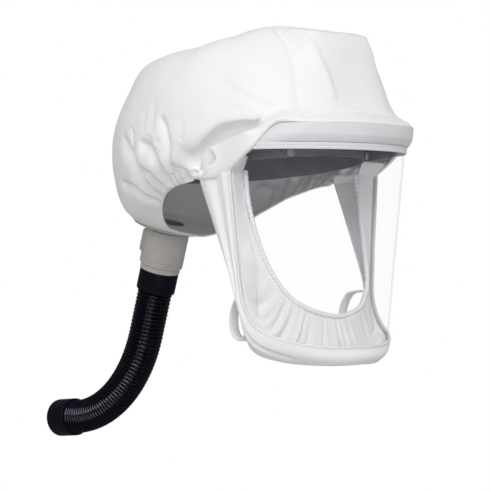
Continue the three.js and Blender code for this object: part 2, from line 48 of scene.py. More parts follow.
# Each lamp's place, the spot it points to, its size and power, and whether glossy faces show it
LAMPS = {
    "key_lamp": ((-0.90, -1.26, 1.02), (0.0, -0.02, -0.03), 1.0, 11.2, True),
    "low_lamp": ((-0.95, -1.25, -0.12), (0.0, -0.05, -0.06), 0.8, 3.1, True),
    "far_lamp": ((1.10, -0.60, 0.60), (0.0, 0.0, -0.05), 0.9, 2.3, False),
    "back_lamp": ((-1.25, 0.75, 0.95), (0.0, 0.05, -0.03), 0.9, 3.2, False),
    "side_lamp": ((-1.45, -0.62, 0.50), (0.0, 0.08, -0.10), 0.30, 3.2, True),
}
scene = bpy.context.scene
scene.view_settings.view_transform = "Standard"


def add_node(tree, kind, inputs=None, **settings):
    """A node with its settings, and its inputs given as values or as sockets to link."""
    node = tree.nodes.new(kind)
    for key, value in settings.items():
        setattr(node, key, value)
    for key, value in (inputs or {}).items():
        if isinstance(value, bpy.types.NodeSocket):
            tree.links.new(value, node.inputs[key])
        else:
            node.inputs[key].default_value = value
    return node


def ranged(tree, value, low, high):
    """A value from 0 to 1 spread from low to high."""
    ends = {"Value": value, "To Min": low, "To Max": high}
    return add_node(tree, "ShaderNodeMapRange", ends).outputs["Result"]


def new_material(name):
    """A material with its node tree and its main shader."""
    material = bpy.data.materials.new(name)
    material.use_nodes = True
    return material, material.node_tree, material.node_tree.nodes["Principled BSDF"]


def show_mix(tree, share, first, second):
    """The surface shows two shaders, mixed by a share."""
    both = add_node(tree, "ShaderNodeMixShader", {0: share, 1: first.outputs[0], 2: second.outputs[0]})
    tree.links.new(both.outputs[0], tree.nodes["Material Output"].inputs["Surface"])


def placed(name, data):
    """An object in the scene for a mesh, a lamp or a camera."""
    holder = bpy.data.objects.new(name, data)
    scene.collection.objects.link(holder)
    return holder


def aim(holder, direction):
    """A lamp or a camera turned to look along a direction."""
    holder.rotation_euler = direction.to_track_quat("-Z", "Y").to_euler()


camera = placed("camera", bpy.data.cameras.new("camera"))
camera.data.lens = CAMERA["lens"]
camera.location = TO_CAMERA * CAMERA["distance"] + ACROSS_VIEW * CAMERA["across"]
camera.location.z = CAMERA["height"]
aim(camera, -TO_CAMERA)
scene.camera = camera

world = bpy.data.worlds.new("white_room")
world.use_nodes = True
scene.world = world
sky = world.node_tree.nodes["Background"]
ray = add_node(world.node_tree, "ShaderNodeLightPath").outputs
cast = ranged(world.node_tree, ray["Is Glossy Ray"], SKY["cast"], SKY["mirrored"])
level = ranged(world.node_tree, ray["Is Camera Ray"], cast, SKY["seen"])
sky.inputs["Color"].default_value = SKY["colour"]
world.node_tree.links.new(level, sky.inputs["Strength"])

half = FLOOR["half"]
corners = [(-half, -half), (half, -half), (half, half), (-half, half)]
floor_mesh = bpy.data.meshes.new("floor")
floor_mesh.from_pydata([(x, y, FLOOR["height"]) for x, y in corners], [], [(0, 1, 2, 3)])
floor = placed("floor", floor_mesh)
floor_paint, tree, paint = new_material("floor_paint")
paint.inputs["Base Color"].default_value = FLOOR["colour"]
paint.inputs["Roughness"].default_value = FLOOR["roughness"]
white = add_node(tree, "ShaderNodeEmission")
seen = add_node(tree, "ShaderNodeLightPath").outputs["Is Camera Ray"]
show_mix(tree, seen, paint, white)
floor_mesh.materials.append(floor_paint)
floor.visible_glossy = False

for name, (spot, target, size, power, mirrored) in LAMPS.items():
    lamp = bpy.data.lights.new(name, "AREA")
    lamp.shape = "DISK"
    lamp.size = size
    lamp.energy = power
    holder = placed(name, lamp)
    holder.location = spot
    holder.visible_glossy = mirrored
    aim(holder, Vector(target) - Vector(spot))

# Headband: an oval strap of dark grey moulded plastic that carries the whole hood. It is ribbed
# and notched at the front, where it shows through the visor.
MM = 0.001
HEADBAND = {"half_width": 78.0, "half_length": 99.0, "centre_y": -4.0, "height": 23.0, "thickness": 2.0}
HEADBAND_FOOT = {"front": 3.0, "back": -14.0}
BAND_EDGE = 0.7
BAND_RIB = {"pitch": 5.2, "width": 0.9, "depth": 0.45, "end_angle": 80.0}
BAND_RIB_ROWS = {"low": 5.1, "high": 15.5, "slope": 0.6}
BAND_NOTCH = {"pitch": 13.0, "width": 4.6, "depth": 2.8, "end_angle": 66.0}
BAND_COLUMNS = 900
MERGE = 0.002
# Sockets of the Mix node where it mixes colours, which share their names with others
MIX_SHARE, MIX_FIRST, MIX_SECOND, MIX_RESULT = 0, 6, 7, 2


def calc(tree, operation, *values):
    """One step of arithmetic on values or sockets."""
    return add_node(tree, "ShaderNodeMath", dict(enumerate(values)), operation=operation).outputs[0]


def noise_value(tree, where, scale, detail, distortion=0.0):
    """A noise pattern of that scale over the piece."""
    values = {"Vector": where, "Scale": scale, "Detail": detail, "Distortion": distortion}
    return add_node(tree, "ShaderNodeTexNoise", values).outputs["Fac"]


def mixed(tree, share, first, second, blend="MIX"):
    """Two colours mixed by a share."""
    colours = {MIX_SHARE: share, MIX_FIRST: first, MIX_SECOND: second}
    node = add_node(tree, "ShaderNodeMix", colours, data_type="RGBA", blend_type=blend)
    return node.outputs[MIX_RESULT]


def grain_group(name, values, cloud_scale, cloud_detail):
    """The start of a shader group: its sockets, and a colour mottled by slow clouds."""
    tree = bpy.data.node_groups.new(name, "ShaderNodeTree")
    tree.interface.new_socket("Color", in_out="INPUT", socket_type="NodeSocketColor")
    for label, value in values.items():
        tree.interface.new_socket(label, in_out="INPUT", socket_type="NodeSocketFloat").default_value = value
    for label, kind in (("Color", "Color"), ("Roughness", "Float"), ("Height", "Float")):
        tree.interface.new_socket(label, in_out="OUTPUT", socket_type="NodeSocket" + kind)
    given = add_node(tree, "NodeGroupInput").outputs
    made = add_node(tree, "NodeGroupOutput").inputs
    where = add_node(tree, "ShaderNodeTexCoord").outputs["Object"]
    cloud = noise_value(tree, where, cloud_scale, cloud_detail)
    mottled = mixed(tree, given["Mottle"], given["Color"], cloud, blend="SOFT_LIGHT")
    tree.links.new(mottled, made["Color"])
    return tree, given, made, where, cloud


def close_group(tree, given, made, pattern, spread, height):
    """The end of a shader group: a roughness varied by a pattern, and the relief."""
    rough = calc(tree, "ADD", given["Roughness"], ranged(tree, pattern, -spread, spread))
    tree.links.new(rough, made["Roughness"])
    tree.links.new(height, made["Height"])
    return tree


def moulded_grain():
    """Spark-eroded mould texture: a fine grain, with slow changes of tone and of gloss."""
    values = {"Mottle": 0.3, "Roughness": 0.5, "Grain Scale": 2400.0}
    tree, given, made, where, cloud = grain_group("moulded_grain", values, cloud_scale=70.0, cloud_detail=5.0)
    fine = noise_value(tree, where, given["Grain Scale"], detail=2.0)
    return close_group(tree, given, made, cloud, spread=0.09, height=fine)


MOULDED_GRAIN = moulded_grain()


def grained(name, group, colour, values, bump, shader_values):
    """A material whose colour, roughness and bump come from one shared group."""
    material, tree, shader = new_material(name)
    grain = add_node(tree, "ShaderNodeGroup", {"Color": (*colour, 1.0), **values}, node_tree=group).outputs
    relief = add_node(tree, "ShaderNodeBump", {"Height": grain["Height"], **bump})
    tree.links.new(grain["Color"], shader.inputs["Base Color"])
    tree.links.new(grain["Roughness"], shader.inputs["Roughness"])
    tree.links.new(relief.outputs["Normal"], shader.inputs["Normal"])
    for key, value in shader_values.items():
        shader.inputs[key].default_value = value
    return material


def moulded(name, colour, roughness, mottle, relief, depth=0.0002, grain=2400.0, specular=None):
    """A moulded plastic or rubber, with its colour, gloss and grain."""
    values = {"Roughness": roughness, "Mottle": mottle, "Grain Scale": grain}
    bump = {"Strength": relief, "Distance": depth}
    return grained(name, MOULDED_GRAIN, colour, values, bump, specular or {})


def new_piece(name, points, faces, material, sharp=None, closed=False):
    """A smooth mesh in metres from points in millimetres, turned outwards if it is closed."""
    mesh = bpy.data.meshes.new(name)
    mesh.from_pydata([tuple(p) for p in np.asarray(points) * MM], [], [tuple(f) for f in faces])
    work = bmesh.new()
    work.from_mesh(mesh)
    bmesh.ops.remove_doubles(work, verts=work.verts, dist=MERGE * MM)
    if closed:
        bmesh.ops.recalc_face_normals(work, faces=work.faces)
    work.to_mesh(mesh)
    work.free()
    mesh.shade_smooth()
    if sharp is not None:
        mesh.set_sharp_from_angle(angle=math.radians(sharp))
    mesh.materials.append(material)
    return placed(name, mesh)


def row_faces(rows, columns, loop_columns=False, loop_rows=False):
    """Quads over rows of points, which may close on themselves either way."""
    index = np.arange(rows * columns).reshape(rows, columns)
    if loop_columns:
        index = np.concatenate([index, index[:, :1]], axis=1)
    if loop_rows:
        index = np.concatenate([index, index[:1]], axis=0)
    quads = [index[:-1, :-1], index[1:, :-1], index[1:, 1:], index[:-1, 1:]]
    return np.stack(quads, axis=-1).reshape(-1, 4)


def fit(piece, slot, *nodes, body="hood"):
    """The piece moves with its body, and takes the place of its CAD nodes if it has any."""
    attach(piece, body)
    if nodes:
        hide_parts(*nodes)


def band_point(angle, height, outside):
    """A place by its angle round the headband, its height over the foot and its distance outwards."""
    turn = np.radians(angle)
    x = -(HEADBAND["half_width"] + outside) * np.sin(turn)
    y = HEADBAND["centre_y"] - (HEADBAND["half_length"] + outside) * np.cos(turn)
    rise = HEADBAND_FOOT["front"] - HEADBAND_FOOT["back"]
    foot = HEADBAND_FOOT["back"] + rise * (1 + np.cos(turn)) / 2
    return np.stack([x, y, foot + height], axis=-1)


def repeated(angle, spacing):
    """1 in each repeat of a rib or notch at the front, and 0 between them."""
    along = np.abs(np.radians(angle)) * HEADBAND["half_length"] + spacing["pitch"] / 2
    beside = np.abs((along % spacing["pitch"]) - spacing["pitch"] / 2) < spacing["width"] / 2
    return np.where(beside & (np.abs(angle) < spacing["end_angle"]), 1.0, 0.0)


def headband():
    tall, deep, edge = HEADBAND["height"], HEADBAND["thickness"], BAND_EDGE
    low, high, slope = BAND_RIB_ROWS["low"], BAND_RIB_ROWS["high"], BAND_RIB_ROWS["slope"]
    section = [(0, edge), (edge, 0), (deep - edge, 0), (deep, edge)]
    section += [(deep, low - slope), (deep, low), (deep, high), (deep, high + slope)]
    section += [(deep, tall - edge), (deep - edge, tall), (edge, tall), (0, tall - edge)]
    angle = np.linspace(-180, 180, BAND_COLUMNS, endpoint=False)
    ribs, notches = repeated(angle, BAND_RIB), repeated(angle, BAND_NOTCH)
    rows = []
    for outside, height in section:
        on_rib = low <= height <= high
        on_top = tall - 2 * edge <= height
        depth = outside - BAND_RIB["depth"] * ribs * on_rib
        rows.append(band_point(angle, height - BAND_NOTCH["depth"] * notches * on_top, depth))
    faces = row_faces(len(section), BAND_COLUMNS, loop_columns=True, loop_rows=True)
    return np.array(rows).reshape(-1, 3), faces


band_plastic = moulded("band_plastic", (0.155, 0.152, 0.170), roughness=0.46, mottle=0.5, relief=0.25)
band = new_piece("forehead_band", *headband(), band_plastic, sharp=35, closed=True)
fit(band, "band_plastic", "headband")

# Band studs: two light grey plastic buttons, pressed into the front of the headband to hold its
# sweat strip. Each has a sloped rim and a small dish in its face.
SIDES = ((-1, "right"), (1, "left"))
STUD = {"x": 45.0, "height": 4.0, "radius": 3.5, "depth": 2.2, "gap": 0.7, "corner": 0.4, "sides": 40}
STUD_RIM = {"slope": 1.1, "fall": 0.9}
STUD_DISH = {"radius": 1.2, "floor": 0.8, "depth": 0.5}
CORNER_SHARE = 0.45


def rounded(outline, radius, steps=3):
    """A closed outline of (radius, length) pairs with its corners turned to arcs."""
    result = []
    for i, place in enumerate(outline):
        corner = Vector(place)
        before = Vector(outline[i - 1]) - corner
        after = Vector(outline[(i + 1) % len(outline)]) - corner
        if corner.x == 0:
            result.append(corner)
            continue
        cut = min(radius, CORNER_SHARE * before.length, CORNER_SHARE * after.length)
        start = corner + before.normalized() * cut
        end = corner + after.normalized() * cut
        for s in np.linspace(0, 1, steps + 1):
            result.append(start * (1 - s) ** 2 + corner * 2 * s * (1 - s) + end * s**2)
    return result


def turned(outline, seat, axis, sides):
    """A turned body: a closed outline of (radius, length along the axis) swept round that axis."""
    axis = Vector(axis).normalized()
    across = axis.orthogonal().normalized()
    other = axis.cross(across)
    points = []
    for radius, along in outline:
        for k in range(sides):
            turn = 2 * math.pi * k / sides
            spoke = across * math.cos(turn) + other * math.sin(turn)
            points.append(Vector(seat) + axis * along + spoke * radius)
    return points, row_faces(len(outline), sides, loop_columns=True, loop_rows=True)


stud_plastic = moulded(
    "stud_plastic", (0.34, 0.34, 0.38), roughness=0.38, mottle=0.3, relief=0.15, depth=0.0001
)
stud_base, stud_rim = STUD["gap"], STUD["radius"]
stud_top = stud_base + STUD["depth"]
stud_floor = stud_top - STUD_DISH["depth"]
stud_shape = [(0, stud_base), (stud_rim, stud_base), (stud_rim, stud_top - STUD_RIM["fall"])]
stud_shape += [(stud_rim - STUD_RIM["slope"], stud_top), (STUD_DISH["radius"], stud_top)]
stud_shape += [(STUD_DISH["floor"], stud_floor), (0, stud_floor)]
for side, word in SIDES:
    reach = HEADBAND["half_width"] + HEADBAND["thickness"]
    angle = math.degrees(math.asin(-side * STUD["x"] / reach))
    seat, ahead = (Vector(band_point(angle, STUD["height"], HEADBAND["thickness"] + out)) for out in (0, 1))
    shape = turned(rounded(stud_shape, STUD["corner"]), seat, ahead - seat, STUD["sides"])
    stud = new_piece(f"stud_{word}", *shape, stud_plastic, sharp=60, closed=True)
    fit(stud, "stud_plastic", f"band_stud_{word}")

# Harness arms: violet-grey moulded plates, one at each temple, that join the headband to the visor
# and hold it clear of the band. Their ends and edges are rounded, and they taper to the back.
GAP = 0.35
VISOR_TOP = {"height": 20.0, "half_width": 90.0, "depth": 79.0, "centre_y": -60.5}
VISOR_FOOT = {"height": -150.0, "half_width": 74.0, "depth": 56.5, "centre_y": -66.0}
ARM = {"height": 15.0, "thickness": 2.0, "taper": 0.36, "corner": 2.6, "edge": 0.6, "stations": 25}
ARM_SEATS = {"visor_angle": 66.5, "visor_height": 14.0, "band_angle": 72.0}


def visor_plan(height):
    """Half width, depth and centre of the visor's plan at a height."""
    share = (VISOR_TOP["height"] - height) / (VISOR_TOP["height"] - VISOR_FOOT["height"])
    sizes = ("half_width", "depth", "centre_y")
    return [VISOR_TOP[size] + (VISOR_FOOT[size] - VISOR_TOP[size]) * share for size in sizes]


def visor_point(angle, height, outside):
    """A place by its angle round the visor, positive on the right side, and its height."""
    angle, height = np.broadcast_arrays(np.asarray(angle, float), np.asarray(height, float))
    half_width, depth, centre_y = visor_plan(height)
    turn = np.radians(angle)
    x = -(half_width + outside) * np.sin(turn)
    y = centre_y - (depth + outside) * np.cos(turn)
    return np.stack([x, y, height], axis=-1)


def chamfered(left, right, foot, head, edge):
    """A strip's section with its four edges cut off."""
    lower = [(left, foot + edge), (left + edge, foot), (right - edge, foot), (right, foot + edge)]
    return lower + [(right, head - edge), (right - edge, head), (left + edge, head), (left, head - edge)]


def bar(rows):
    """A closed bar from loops of points: all its points, and faces with both ends closed."""
    count = len(rows[0])
    last = (len(rows) - 1) * count
    faces = [tuple(f) for f in row_faces(len(rows), count, loop_columns=True)]
    return np.array(rows).reshape(-1, 3), faces + [tuple(range(count)), tuple(range(last, last + count))]


def harness_arm(side):
    inside = -GAP - ARM["thickness"]
    front = Vector(visor_point(-side * ARM_SEATS["visor_angle"], ARM_SEATS["visor_height"], inside))
    middle = HEADBAND["height"] / 2
    back = Vector(band_point(-side * ARM_SEATS["band_angle"], middle, HEADBAND["thickness"] + GAP))
    run = Vector((back.x - front.x, back.y - front.y, 0)).normalized()
    out = Vector((run.y, -run.x, 0)) * side
    tall, corner = ARM["height"] / 2, ARM["corner"]
    length = (back - front).length
    rows = []
    for s in (1 - np.cos(np.linspace(0, math.pi, ARM["stations"]))) / 2:
        from_end = min(s, 1 - s) * length
        fall = corner - math.sqrt(max(0.0, corner**2 - max(0.0, corner - from_end) ** 2))
        head = tall * (1 - 2 * ARM["taper"] * s) - fall
        loop = chamfered(0, ARM["thickness"], fall - tall, head, ARM["edge"])
        centre = front.lerp(back, s)
        rows.append([centre + out * across + Vector((0, 0, up)) for across, up in loop])
    return bar(rows)


arm_plastic = moulded("arm_plastic", (0.16, 0.155, 0.20), roughness=0.42, mottle=0.4, relief=0.2)
for side, word in SIDES:
    arm = new_piece(f"arm_{word}", *harness_arm(side), arm_plastic, sharp=50, closed=True)
    fit(arm, "arm_plastic", f"harness_arm_{word}")

# Visor: one clear flexible film, bent to half an oval and held at the brow and in the skirt. It is
# seen only by its faint reflections and its edges.
FILM = 1.0
VISOR_GRID = {"columns": 121, "rows": 41, "edge_samples": 801}
# Upper edge of the film: angle and height
VISOR_EDGE = np.array([(0, 24), (50, 24), (70, 13), (91, -8.5)], float)
# Stations round the lower edge: the film's edge, the skirt's free edge, and the seal's inner edge
FACE_COLUMNS = "edge_angle edge_z free_x free_y free_z bulge seal_x seal_y seal_z sag".split()
FACE = np.array([
    (91, -11, 85, -17, -16, 3, 67, -57, -9, 0),
    (91, -45, 83, -33, -52, 3, 67, -62, -40, 2),
    (91, -85, 79, -50, -92, 3, 62, -72, -77, 5),
    (89, -118, 74, -60, -126, 4, 54, -82, -101, 9),
    (78, -138, 67, -66, -155, 5, 44, -88, -114, 14),
    (58, -148, 54, -87, -165, 5, 32, -94, -122, 18),
    (30, -154, 30, -112, -168, 4, 16, -97.5, -127, 20),
    (0, -155, 0, -120, -168, 4, 0, -98.5, -129, 20),
], float)
SIDE_ANGLE = FACE[0, 0]
SIDE_FOOT = FACE[3, 1]
FILM_LOOK = {
    "gloss": (0.80, 0.80, 0.90, 1.0),
    "ior": 1.5,
    "smear": {"scale": 30.0, "detail": 4.0},
    "haze": (0.03, 0.12),
    "rim_power": 26.0,
    "clear": (0.997, 0.997, 1.0, 1.0),
    "rim": (0.44, 0.42, 0.62, 1.0),
    "gloss_share": (0.012, 0.35),
}


def graded(keys, values, places):
    """Columns of a table at any places: smooth, with no overshoot, and level at both ends."""
    keys, values = np.asarray(keys, float), np.asarray(values, float).reshape(len(keys), -1)
    slope = np.diff(values, axis=0) / np.diff(keys)[:, None]
    before, after = slope[:-1], slope[1:]
    tangent = np.zeros_like(values)
    total = np.where(before + after == 0, 1, before + after)
    tangent[1:-1] = np.where(before * after > 0, 2 * before * after / total, 0)
    x = np.clip(np.asarray(places, float), keys[0], keys[-1])
    i = np.searchsorted(keys[1:-1], x, side="left")
    width = (keys[i + 1] - keys[i])[:, None]
    s = (x - keys[i])[:, None] / width
    rise = s * s * (3 - 2 * s)
    bend = width * s * (1 - s) * (tangent[i] * (1 - s) - tangent[i + 1] * s)
    return values[i] * (1 - rise) + values[i + 1] * rise + bend


def through(points, t, root):
    """A smooth curve through points: root 0 spaces them evenly, 0.5 by the root of their distance."""
    points = np.asarray(points, float)
    knots = np.concatenate([[2 * points[0] - points[1]], points, [2 * points[-1] - points[-2]]])
    i = min(int(t * (len(points) - 1)), len(points) - 2)
    s = t * (len(points) - 1) - i
    a, b, c, d = knots[i : i + 4]
    ab, bc, cd = (np.linalg.norm(q - p, axis=-1, keepdims=True) ** root for p, q in ((a, b), (b, c), (c, d)))
    leave = ((b - a) / ab - (c - a) / (ab + bc) + (c - b) / bc) * bc
    arrive = ((c - b) / bc - (d - b) / (bc + cd) + (d - c) / cd) * bc
    rise = s * s * (3 - 2 * s)
    return b * (1 - rise) + c * rise + leave * s * (1 - s) ** 2 - arrive * s * s * (1 - s)


FLIP = np.array([-1 if name in ("edge_angle", "free_x", "seal_x") else 1 for name in FACE_COLUMNS])
STATIONS = np.concatenate([FACE, FACE[-2::-1] * FLIP])


def station(t):
    """The row of the face table at t, from 0 at the right temple to 1 at the left one."""
    return dict(zip(FACE_COLUMNS, through(STATIONS, t, root=0.0)))


def film_top(angle):
    """Height of the film's upper edge at angles round the visor."""
    return graded(VISOR_EDGE[:, 0], VISOR_EDGE[:, 1], np.abs(angle))[:, 0]


def visor_film():
    rows = map(station, np.linspace(0, 1, VISOR_GRID["edge_samples"]))
    edge = np.array([[row["edge_angle"], row["edge_z"]] for row in rows])
    edge = edge[(np.abs(edge[:, 0]) <= SIDE_ANGLE) & (edge[:, 1] < SIDE_FOOT)][::-1]
    angle = np.linspace(SIDE_ANGLE, -SIDE_ANGLE, VISOR_GRID["columns"])
    foot = np.interp(angle, edge[:, 0], edge[:, 1])
    share = np.linspace(0, 1, VISOR_GRID["rows"])[:, None]
    points = visor_point(angle[None, :], film_top(angle) * (1 - share) + foot * share, FILM)
    return points.reshape(-1, 3), row_faces(*points.shape[:2])


def solidify(piece, thickness):
    """A wall of that thickness in millimetres, inwards from the piece's face."""
    wall = piece.modifiers.new("wall", "SOLIDIFY")
    wall.thickness = thickness * MM
    wall.offset = -1.0


def clear_film():
    """Clear at a right angle, and tinted and glossy where it is seen edge on."""
    material, tree, gloss = new_material("clear_film")
    gloss.inputs["Base Color"].default_value = FILM_LOOK["gloss"]
    gloss.inputs["IOR"].default_value = FILM_LOOK["ior"]
    where = add_node(tree, "ShaderNodeTexCoord").outputs["Object"]
    smear = noise_value(tree, where, **FILM_LOOK["smear"])
    tree.links.new(ranged(tree, smear, *FILM_LOOK["haze"]), gloss.inputs["Roughness"])
    grazing = add_node(tree, "ShaderNodeLayerWeight", {"Blend": 0.5}).outputs["Facing"]
    rim = calc(tree, "POWER", grazing, FILM_LOOK["rim_power"])
    tint = mixed(tree, rim, FILM_LOOK["clear"], FILM_LOOK["rim"])
    passing = add_node(tree, "ShaderNodeBsdfTransparent", {"Color": tint})
    show_mix(tree, ranged(tree, rim, *FILM_LOOK["gloss_share"]), passing, gloss)
    return material


visor = new_piece("visor_sheet", *visor_film(), clear_film())
solidify(visor, FILM)
fit(visor, "visor_film", "visor")

# Face seal: a gathered collar of thin cloth sewn inside the visor's edge, which closes the
# space behind it. A covered elastic draws its inner edge together.
CLOTH = 1.5
SEAL = {"lap": 1.5, "behind_edge": -1.2, "steps": 420, "across": 34, "thickness": 0.9}
SEAL_TOP = {"turn": 12.0, "ahead": 4.0, "rise": 12.0, "rows": 10, "over": 1.0}
GATHERS = {"count": 11, "depth": 11.0, "full_sag": 12.0, "growth": 1.5, "least": 0.16, "slant": 0.05}
GATHER_RIDGE = {"level": 0.6, "at_film": 0.3, "at_face": 0.7}
# How the gathers stray and vary: rate along the edge, seed of the noise, amount
STRAY = {"rate": 23.0, "seed": (0.0, 2.0), "amount": 1.2}
UNEVEN = {"rate": 11.0, "seed": (4.0, 0.0), "amount": 0.9, "mean": 0.7}
PUCKERS = {"per_gather": 3.3, "depth": 0.8}
CHEEK_FLAP = {"from": 0.10, "to": 0.245, "top": 0.74, "foot": 0.20, "fall": 0.04, "depth": 7.5}
FLAP_RISE = {"power": 1.5, "ends": 3.0}
ELASTIC_SEAT = 2.8
NUDGE = 1e-4
TINY = 1e-9
# Relief of the cloth: how much of the fibres and of the bonded dots shows
CLOTH_RELIEF = {"fibre": 0.55, "dots": 0.35}
CLOTH_BUMP = {"Strength": 0.35, "Distance": 0.0004}
CLOTH_SHEEN = {"Sheen Weight": 0.12, "Sheen Roughness": 0.5}


def nonwoven():
    """Matt non-woven cloth: felted fibres, small bonded dots, and a faint change of tone."""
    values = {"Mottle": 0.2, "Roughness": 0.85, "Dot Scale": 620.0, "Crumple": 0.6}
    tree, given, made, where, cloud = grain_group("nonwoven", values, cloud_scale=38.0, cloud_detail=4.0)
    fibre = noise_value(tree, where, scale=1500.0, detail=3.0, distortion=1.4)
    crease = noise_value(tree, where, scale=95.0, detail=3.0, distortion=0.8)
    spots = {"Vector": where, "Scale": given["Dot Scale"], "Randomness": 0.35}
    dots = add_node(tree, "ShaderNodeTexVoronoi", spots).outputs["Distance"]
    felt = calc(tree, "MULTIPLY", fibre, CLOTH_RELIEF["fibre"])
    bond = calc(tree, "MULTIPLY_ADD", dots, CLOTH_RELIEF["dots"], felt)
    relief = calc(tree, "MULTIPLY_ADD", crease, given["Crumple"], bond)
    return close_group(tree, given, made, fibre, spread=0.06, height=relief)


NONWOVEN = nonwoven()


def cloth(name, colour, roughness, crumple):
    """A white cloth of the hood, with its own shade and crumple."""
    values = {"Roughness": roughness, "Crumple": crumple}
    return grained(name, NONWOVEN, colour, values, CLOTH_BUMP, CLOTH_SHEEN)


def near_edge(t, inset, outside):
    """A place of the visor near its lower edge: inset runs along the film towards its middle."""
    millimetres = visor_plan(0.0)[0] * math.radians(1)
    here, ahead, behind = station(t), station(min(1.0, t + NUDGE)), station(max(0.0, t - NUDGE))
    run = (ahead["edge_angle"] - behind["edge_angle"], ahead["edge_z"] - behind["edge_z"])
    inward = Vector((run[1], -run[0] * millimetres)).normalized()
    angle = here["edge_angle"] + inward.x * inset / millimetres
    return visor_point(angle, here["edge_z"] + inward.y * inset, outside)


def seal_path(t):
    """A place of the elastic, from the right temple round the chin to the left one."""
    row = station(t)
    return np.array([-row["seal_x"], row["seal_y"], row["seal_z"]])


def grid_normals(points, closed=False):
    """Normals over rows of points, on the side that the faces of row_faces look to."""
    along = np.gradient(points, axis=1)
    if closed:
        along = np.roll(points, -1, axis=1) - np.roll(points, 1, axis=1)
    across = np.cross(np.gradient(points, axis=0), along)
    return across / np.maximum(np.linalg.norm(across, axis=-1, keepdims=True), TINY)


def eased(share):
    """A share from 0 to 1 that starts and ends level."""
    share = np.clip(share, 0, 1)
    return share * share * (3 - 2 * share)


def varied(t, noise_of):
    """Noise along the edge, from its rate, seed and amount."""
    return noise.noise(Vector((t * noise_of["rate"], *noise_of["seed"]))) * noise_of["amount"]


def seal_line(t, rise):
    """One line across the seal, from the film's edge to the elastic; rise lifts it up the temple."""
    face = seal_path(t) + rise * np.array([0.0, -SEAL_TOP["ahead"], SEAL_TOP["rise"]])
    behind = near_edge(t, SEAL["behind_edge"], FILM / 2)
    outer = near_edge(t, SEAL["lap"], -2 * GAP - CLOTH)
    if rise > 0:
        angle = SIDE_ANGLE - SEAL_TOP["turn"] * rise
        top = film_top([angle])[0]
        angle = angle if t < 0.5 else -angle
        behind = visor_point(angle, top + SEAL_TOP["over"], FILM / 2)
        outer = visor_point(angle, top - SEAL["lap"], -2 * GAP - CLOTH)
    away = outer - face
    inner = face + away / np.linalg.norm(away) * ELASTIC_SEAT
    s = np.linspace(0, 1, SEAL["across"] + 1)[:, None]
    drop = station(t)["sag"] * np.sin(np.pi * s) * np.array([0, 0, 1.0])
    return np.concatenate([[behind], outer * (1 - s) + inner * s - drop])


def seal_folds(t):
    """How far one line of the seal stands out: gathers under the chin, and a full fold at one cheek."""
    s = np.concatenate([[0], np.linspace(0, 1, SEAL["across"] + 1)])
    full = max(GATHERS["least"], min(1.0, station(t)["sag"] / GATHERS["full_sag"]) ** GATHERS["growth"])
    stray = varied(t, STRAY)
    phase = GATHERS["count"] * (t + GATHERS["slant"] * (1 - s) * (1 - 2 * t)) + stray
    ridges = np.abs(np.cos(np.pi * phase)) - GATHER_RIDGE["level"]
    fine = np.cos(2 * np.pi * (GATHERS["count"] * PUCKERS["per_gather"] * t + stray))
    uneven = UNEVEN["mean"] + varied(t, UNEVEN)
    share = np.clip((t - CHEEK_FLAP["from"]) / (CHEEK_FLAP["to"] - CHEEK_FLAP["from"]), 0, 1)
    lip = CHEEK_FLAP["top"] + (CHEEK_FLAP["foot"] - CHEEK_FLAP["top"]) * share
    before = np.clip(s / lip, 0, 1) ** FLAP_RISE["power"]
    after = np.maximum(s - lip, 0) / CHEEK_FLAP["fall"]
    bow = np.sin(np.pi * s)
    growth = GATHER_RIDGE["at_film"] + GATHER_RIDGE["at_face"] * s
    return (
        GATHERS["depth"] * full * uneven * ridges * bow * growth
        + PUCKERS["depth"] * fine * s**3 * bow
        + CHEEK_FLAP["depth"] * eased(FLAP_RISE["ends"] * min(share, 1 - share)) * before * np.exp(-after**2)
    )


def draped(line, folds, steps, tucked, start):
    """A cloth of lines round the visor's edge, tucked up at both temples, with its folds moved in."""
    lifts = np.linspace(1, 0, tucked, endpoint=False)
    lines = [(start, rise) for rise in lifts]
    lines += [(t, 0.0) for t in np.linspace(start, 1 - start, steps + 1)]
    lines += [(1 - start, rise) for rise in lifts[::-1]]
    points = np.array([line(t, rise) for t, rise in lines])
    depth = np.array([folds(t) for t, rise in lines])
    points = points + grid_normals(points) * depth[..., None]
    return points.reshape(-1, 3), row_faces(*points.shape[:2])


# The seal is the hood's cloth, a little greyer: partly the thin cloth's own tone, partly painted shade for
# where it lies behind the visor and under the chin.
seal_cloth_with_painted_shade = cloth("seal_cloth_with_painted_shade", (0.85, 0.85, 0.845), roughness=0.86, crumple=1.2)
face_seal = draped(seal_line, seal_folds, SEAL["steps"], SEAL_TOP["rows"], start=0.0)
seal = new_piece("gathered_seal", *face_seal, seal_cloth_with_painted_shade)
solidify(seal, SEAL["thickness"])
fit(seal, "hood_cloth", "face_seal")

# Elastic: a covered rubber cord sewn into the seal's inner edge. The cloth round it is drawn up
# into small ruffles, which are swept along the edge.
ELASTIC = {"radius": 2.24, "pitch": 3.6, "groove": 0.6, "sharpness": 1.3, "step": 0.5, "sides": 16}
ELASTIC_STATIONS = 241


def geometry_tree(name, sizes):
    """A geometry tree over a mesh of paths, with named sizes and a material as its inputs."""
    tree = bpy.data.node_groups.new(name, "GeometryNodeTree")
    for label, kind in {"Geometry": "Geometry", **sizes, "Material": "Material"}.items():
        tree.interface.new_socket(label, in_out="INPUT", socket_type="NodeSocket" + kind)
    tree.interface.new_socket("Geometry", in_out="OUTPUT", socket_type="NodeSocketGeometry")
    return tree, add_node(tree, "NodeGroupInput").outputs


def coated(tree, shape, material):
    """The end of a geometry tree: instances are made real and get their material."""
    real = add_node(tree, "GeometryNodeRealizeInstances", {0: shape})
    coat = add_node(tree, "GeometryNodeSetMaterial", {"Geometry": real.outputs[0], "Material": material})
    add_node(tree, "NodeGroupOutput", {"Geometry": coat.outputs[0]})
    return tree


